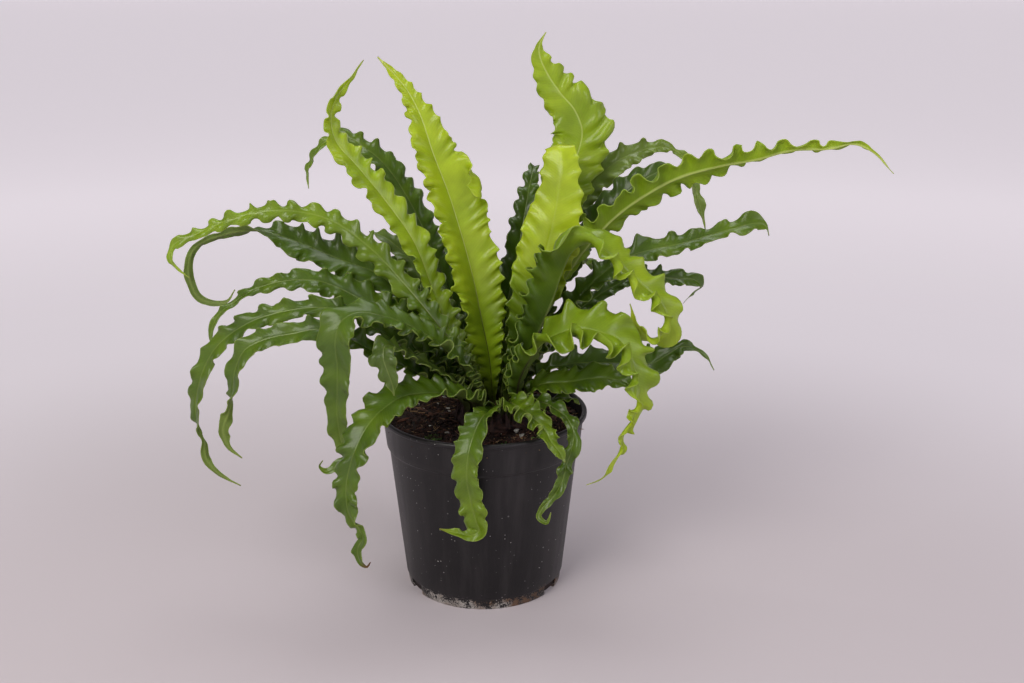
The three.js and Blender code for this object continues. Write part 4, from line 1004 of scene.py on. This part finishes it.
# Loose grains: how many there are, their size, how much they are squashed, and what they look like.
# uneven is how rough their shape is, flatten shapes it, and stand lifts the middle by a share of the size.
crumbs = {
    "name": "soilCrumbs", "count": 1500, "size": (0.9, 2.6), "squash": (0.5, 1), "stand": 0.2,
    "uneven": 0.25, "flatten": (1, 1, 1),
    "material": "peatCrumb", "dark": "#160C0A", "light": "#40251C", "perMetre": 300, "roughness": 0.92,
}
chips = {
    "name": "barkChips", "count": 130, "size": (3.5, 8), "squash": (0.5, 0.9), "stand": 0.12,
    "uneven": 0.3, "flatten": (1, 0.42, 0.28),
    "material": "barkChip", "dark": "#2E1912", "light": "#643C2A", "perMetre": 260, "roughness": 0.85,
}
perlite = {
    "name": "perliteGrains", "count": 26, "size": (1.5, 2.6), "squash": (0.7, 1), "stand": 0.3,
    "uneven": 0.22, "flatten": (1, 1, 1),
    "material": "expandedPerlite", "dark": "#A8A39E", "light": "#DAD6D0", "perMetre": 500, "roughness": 0.8,
}
fibres = {
    "name": "soilFibres", "count": 260, "size": (3.5, 8), "squash": (1, 1), "stand": 0.1,
    "uneven": 0.15, "flatten": (1, 0.07, 0.07),
    "material": "coirFibre", "dark": "#6B4A33", "light": "#A78A66", "perMetre": 200, "roughness": 0.9,
}
moss = {
    "name": "mossTufts", "count": 75, "size": (0.8, 1.7), "squash": (0.5, 0.9), "stand": 0.5,
    "patches": ((20, -62, 9), (44, -46, 8), (-40, -40, 7), (48, 24, 10)),  # each with that many tufts
    "uneven": 0.45, "flatten": (0.8, 0.3, 1),
    "material": "cushionMoss", "dark": "#26381A", "light": "#5F7A34", "perMetre": 420, "roughness": 0.8,
}
grainSmooth = 40  # degrees


def soilHeight(x, y):
    alongX, alongY, slanting = soil["lumpSpans"]
    lump = np.sin(x / alongX) * np.cos(y / alongY) + 0.7 * np.sin((x + y) / slanting + 1)
    reach = np.hypot(x, y) / soil["edge"]
    fine = soil["fine"] * np.sin(x / 2.3 + 2 * np.sin(y / 3.1)) * np.sin(y / 1.9 + 1.5 * np.sin(x / 2.7))
    return soil["top"] + soil["lump"] * lump * (1 - 0.8 * reach) + fine


def fillSoil():
    # a solid cone frustum whose top is inset ring by ring and then made lumpy
    deselectAll()
    bpy.ops.mesh.primitive_circle_add(vertices=soil["sides"], radius=soil["footRadius"] * mm,
                                      location=(0, 0, soil["foot"] * mm), fill_type="NGON")
    bpy.ops.object.transform_apply(location=True)
    bpy.ops.object.mode_set(mode="EDIT")
    bpy.ops.mesh.select_all(action="SELECT")
    extrudeRing(soil["edge"], soil["top"], soil["footRadius"], soil["foot"])
    radius = soil["edge"]
    for ring in range(soil["rings"] - 1, 0, -1):
        nextRadius = soil["edge"] * ring / soil["rings"]
        bpy.ops.mesh.inset(thickness=(radius - nextRadius) * mm)
        radius = nextRadius
    bpy.ops.mesh.select_all(action="SELECT")
    bpy.ops.mesh.normals_make_consistent(inside=False)
    bpy.ops.object.mode_set(mode="OBJECT")
    mesh = bpy.context.object.data
    points = readPoints(mesh)
    above = points[:, 2] > (soil["top"] + soil["foot"]) / 2 * mm
    points[above, 2] = soilHeight(points[above, 0] / mm, points[above, 1] / mm) * mm
    mesh.vertices.foreach_set("co", points.ravel())
    piece = named("soilBed", "soil", "soil")
    bpy.ops.object.shade_smooth()
    piece.data.materials.append(earthMaterial())


def scatter(name, slot, material, grain, spots):
    # copies of one small shape in one piece, each with its own place, size, tilt and turn
    shape = readPoints(grain.data)
    faces = [tuple(face.vertices) for face in grain.data.polygons]
    points, polygons = [], []
    for number, (place, size, (tilt, turn)) in enumerate(spots):
        tip = np.array([[1, 0, 0], [0, math.cos(tilt), -math.sin(tilt)], [0, math.sin(tilt), math.cos(tilt)]])
        spin = np.array([[math.cos(turn), -math.sin(turn), 0], [math.sin(turn), math.cos(turn), 0],
                         [0, 0, 1]])
        points.append((shape * size) @ (spin @ tip).T + place)
        polygons += [tuple(v + number * len(shape) for v in face) for face in faces]
    mesh = bpy.data.meshes.new(name)
    mesh.from_pydata((np.vstack(points) * mm).tolist(), [], polygons)
    bpy.data.objects.remove(grain)
    holder = bpy.data.objects.new(name, mesh)
    bpy.context.scene.collection.objects.link(holder)
    selectOnly(holder)
    named(name, slot)
    bpy.ops.object.shade_smooth_by_angle(angle=math.radians(grainSmooth))
    mesh.materials.append(material)


def grainShape(kind, draw):
    # a small ball with every corner pushed in or out, then squashed to the grain's kind
    deselectAll()
    bpy.ops.mesh.primitive_ico_sphere_add(subdivisions=1, radius=1)
    grain = bpy.context.object
    for vertex in grain.data.vertices:
        vertex.co *= 1 + draw.uniform(-kind["uneven"], kind["uneven"])
        for axis, flat in enumerate(kind["flatten"]):
            vertex.co[axis] *= flat
    return grain


def soilSpots(kind, draw, patch=None):
    # places on the soil or in one patch of it, clear of the pot's wall and of the rootstock
    edge, clear = soil["edge"] - soil["wallGap"], crown["radius"] - soil["underCrown"]
    middleX, middleY, spread = patch or (0, 0, edge)
    spots = []
    while len(spots) < kind["count"]:
        angle, reach = draw.uniform(0, 2 * math.pi), math.sqrt(draw.random())
        x, y = middleX + spread * reach * math.cos(angle), middleY + spread * reach * math.sin(angle)
        if math.hypot(x, y) > edge or math.hypot(x - crown["middle"][0], y - crown["middle"][1]) < clear:
            continue
        grow = draw.uniform(*kind["size"])
        shape = np.array([grow, grow * draw.uniform(*kind["squash"]), grow * draw.uniform(*kind["squash"])])
        place = np.array([x, y, soilHeight(x, y) + grow * kind["stand"]])
        turned = (draw.uniform(-soil["tilt"], soil["tilt"]), draw.uniform(0, 2 * math.pi))
        spots.append((place, shape, turned))
    return spots


def earthMaterial():
    # damp peat and bark: dull, red-brown, in clumps of about 4 mm, with painted shade that darkens the hollows
    material, tree, place = newMaterial("peatAndBark")
    clumps = addNode(tree, "TexNoise", {"Scale": 240, "Detail": 6, "Roughness": 0.7}, {"Vector": place})
    # the clumps also give the relief, so the hollows take the dark tints as painted shade
    tint = addNode(tree, "ValToRGB", {}, {"Fac": clumps})
    stops = tint.color_ramp.elements
    for stop, key in zip(stops, ("dark", "light")):
        stop.position = soil[key + "At"]
        stop.color = colour(soil[key])
    stops.new(soil["midAt"]).color = colour(soil["mid"])
    bump = addNode(tree, "Bump", {"Strength": 0.8, "Distance": 0.001}, {"Height": clumps})
    surface = addNode(tree, "BsdfPrincipled", {"Roughness": 0.9}, {"Base Color": tint, "Normal": bump})
    addNode(tree, "OutputMaterial", {}, {"Surface": surface})
    return material


def grainMaterial(look):
    # dry and dull, between two tints from grain to grain
    material, tree, place = newMaterial(look["material"])
    uneven = addNode(tree, "TexNoise", {"Scale": look["perMetre"], "Detail": 3}, {"Vector": place})
    spread = addNode(tree, "MapRange", {"From Min": 0.35, "From Max": 0.65}, {"Value": uneven})
    tint = addNode(
        tree, "Mix", {"data_type": "RGBA", tintA: colour(look["dark"]), tintB: colour(look["light"])},
        {0: spread},
    )
    bump = addNode(tree, "Bump", {"Strength": 0.4, "Distance": 0.0004}, {"Height": uneven})
    surface = addNode(tree, "BsdfPrincipled", {"Roughness": look["roughness"]},
                      {"Base Color": tint.outputs[tintOut], "Normal": bump})
    addNode(tree, "OutputMaterial", {}, {"Surface": surface})
    return material


fillSoil()
draw = random.Random(41)
for kind in (crumbs, chips, perlite, fibres):
    scatter(kind["name"], "soil", grainMaterial(kind), grainShape(kind, draw), soilSpots(kind, draw))
tufts = [spot for patch in moss["patches"] for spot in soilSpots(moss, draw, patch)]
scatter(moss["name"], "soil", grainMaterial(moss), grainShape(moss, draw), tufts)
print("soil filled")


# Rootstock: a dark scaly mound of old frond bases, which the fronds come out of

mound = {
    "segments": 64, "rings": 32,
    "lobes": ((0.05, 7, 0, 0), (0.04, 13, 0, 1), (0.03, 5, 9, 0)),  # depth, how many round and up, start
    "material": "oldFrondBases", "dark": "#1A1012", "light": "#4A3028", "perMetre": 220, "roughness": 0.85,
}
scales = {
    "count": 420, "length": (7, 13), "within": (0.15, 1.05), "sunk": 2,
    "corners": 5, "footRadius": 0.16, "tipRadius": 0.02, "flatten": 0.35, "bend": 0.25,  # shares of the length
    "lean": 0.5, "leanSpread": 0.2, "turnSpread": 0.3,
    "material": "paperyScale", "dark": "#211312", "light": "#4A2F26", "perMetre": 260, "roughness": 0.7,
}
crownHeight, crownRise = (crown["top"] + crown["foot"]) / 2, (crown["top"] - crown["foot"]) / 2


def buildRootstock():
    deselectAll()
    bpy.ops.mesh.primitive_uv_sphere_add(segments=mound["segments"], ring_count=mound["rings"], radius=1)
    mesh = bpy.context.object.data
    ballX, ballY, ballZ = readPoints(mesh).T
    turn = np.arctan2(ballY, ballX)
    lobed = 1
    for depth, around, upwards, start in mound["lobes"]:
        lobed = lobed + depth * np.sin(around * turn + upwards * ballZ + start)
    x = crown["middle"][0] + ballX * crown["radius"] * lobed
    y = crown["middle"][1] + ballY * crown["radius"] * lobed
    z = crownHeight + ballZ * crownRise
    mesh.vertices.foreach_set("co", (np.stack([x, y, z], axis=1) * mm).ravel())
    piece = named("rootstockMound", "rootstock", "rootstock")
    bpy.ops.object.shade_smooth()
    piece.data.materials.append(grainMaterial(mound))


def scaleShape():
    # a pointed papery scale: a squashed cone with its tip bent over
    deselectAll()
    bpy.ops.mesh.primitive_cone_add(vertices=scales["corners"], radius1=scales["footRadius"],
                                    radius2=scales["tipRadius"], depth=1, location=(0, 0, 0.5))
    bpy.ops.object.transform_apply(location=True)
    shape = bpy.context.object
    for vertex in shape.data.vertices:
        vertex.co.y *= scales["flatten"]
        vertex.co.y += scales["bend"] * vertex.co.z ** 2
    return shape


def scaleSpots(draw):
    # all over the mound, leaning outwards
    spots, radius = [], crown["radius"]
    while len(spots) < scales["count"]:
        turn, reach = draw.uniform(0, 2 * math.pi), radius * math.sqrt(draw.uniform(*scales["within"]))
        inside = max(0, 1 - (reach / radius) ** 2)
        z = crownHeight + crownRise * math.sqrt(inside) - scales["sunk"]
        x, y = crown["middle"][0] + reach * math.cos(turn), crown["middle"][1] + reach * math.sin(turn)
        grow = draw.uniform(*scales["length"])
        tilt = scales["lean"] * reach / radius - draw.uniform(-scales["leanSpread"], scales["leanSpread"])
        spin = turn - math.pi / 2 + draw.uniform(-scales["turnSpread"], scales["turnSpread"])
        spots.append((np.array([x, y, z]), grow, (tilt, spin)))
    return spots


buildRootstock()
scatter("rootstockScales", "rootstock", grainMaterial(scales), scaleShape(), scaleSpots(draw))
print("rootstock built")
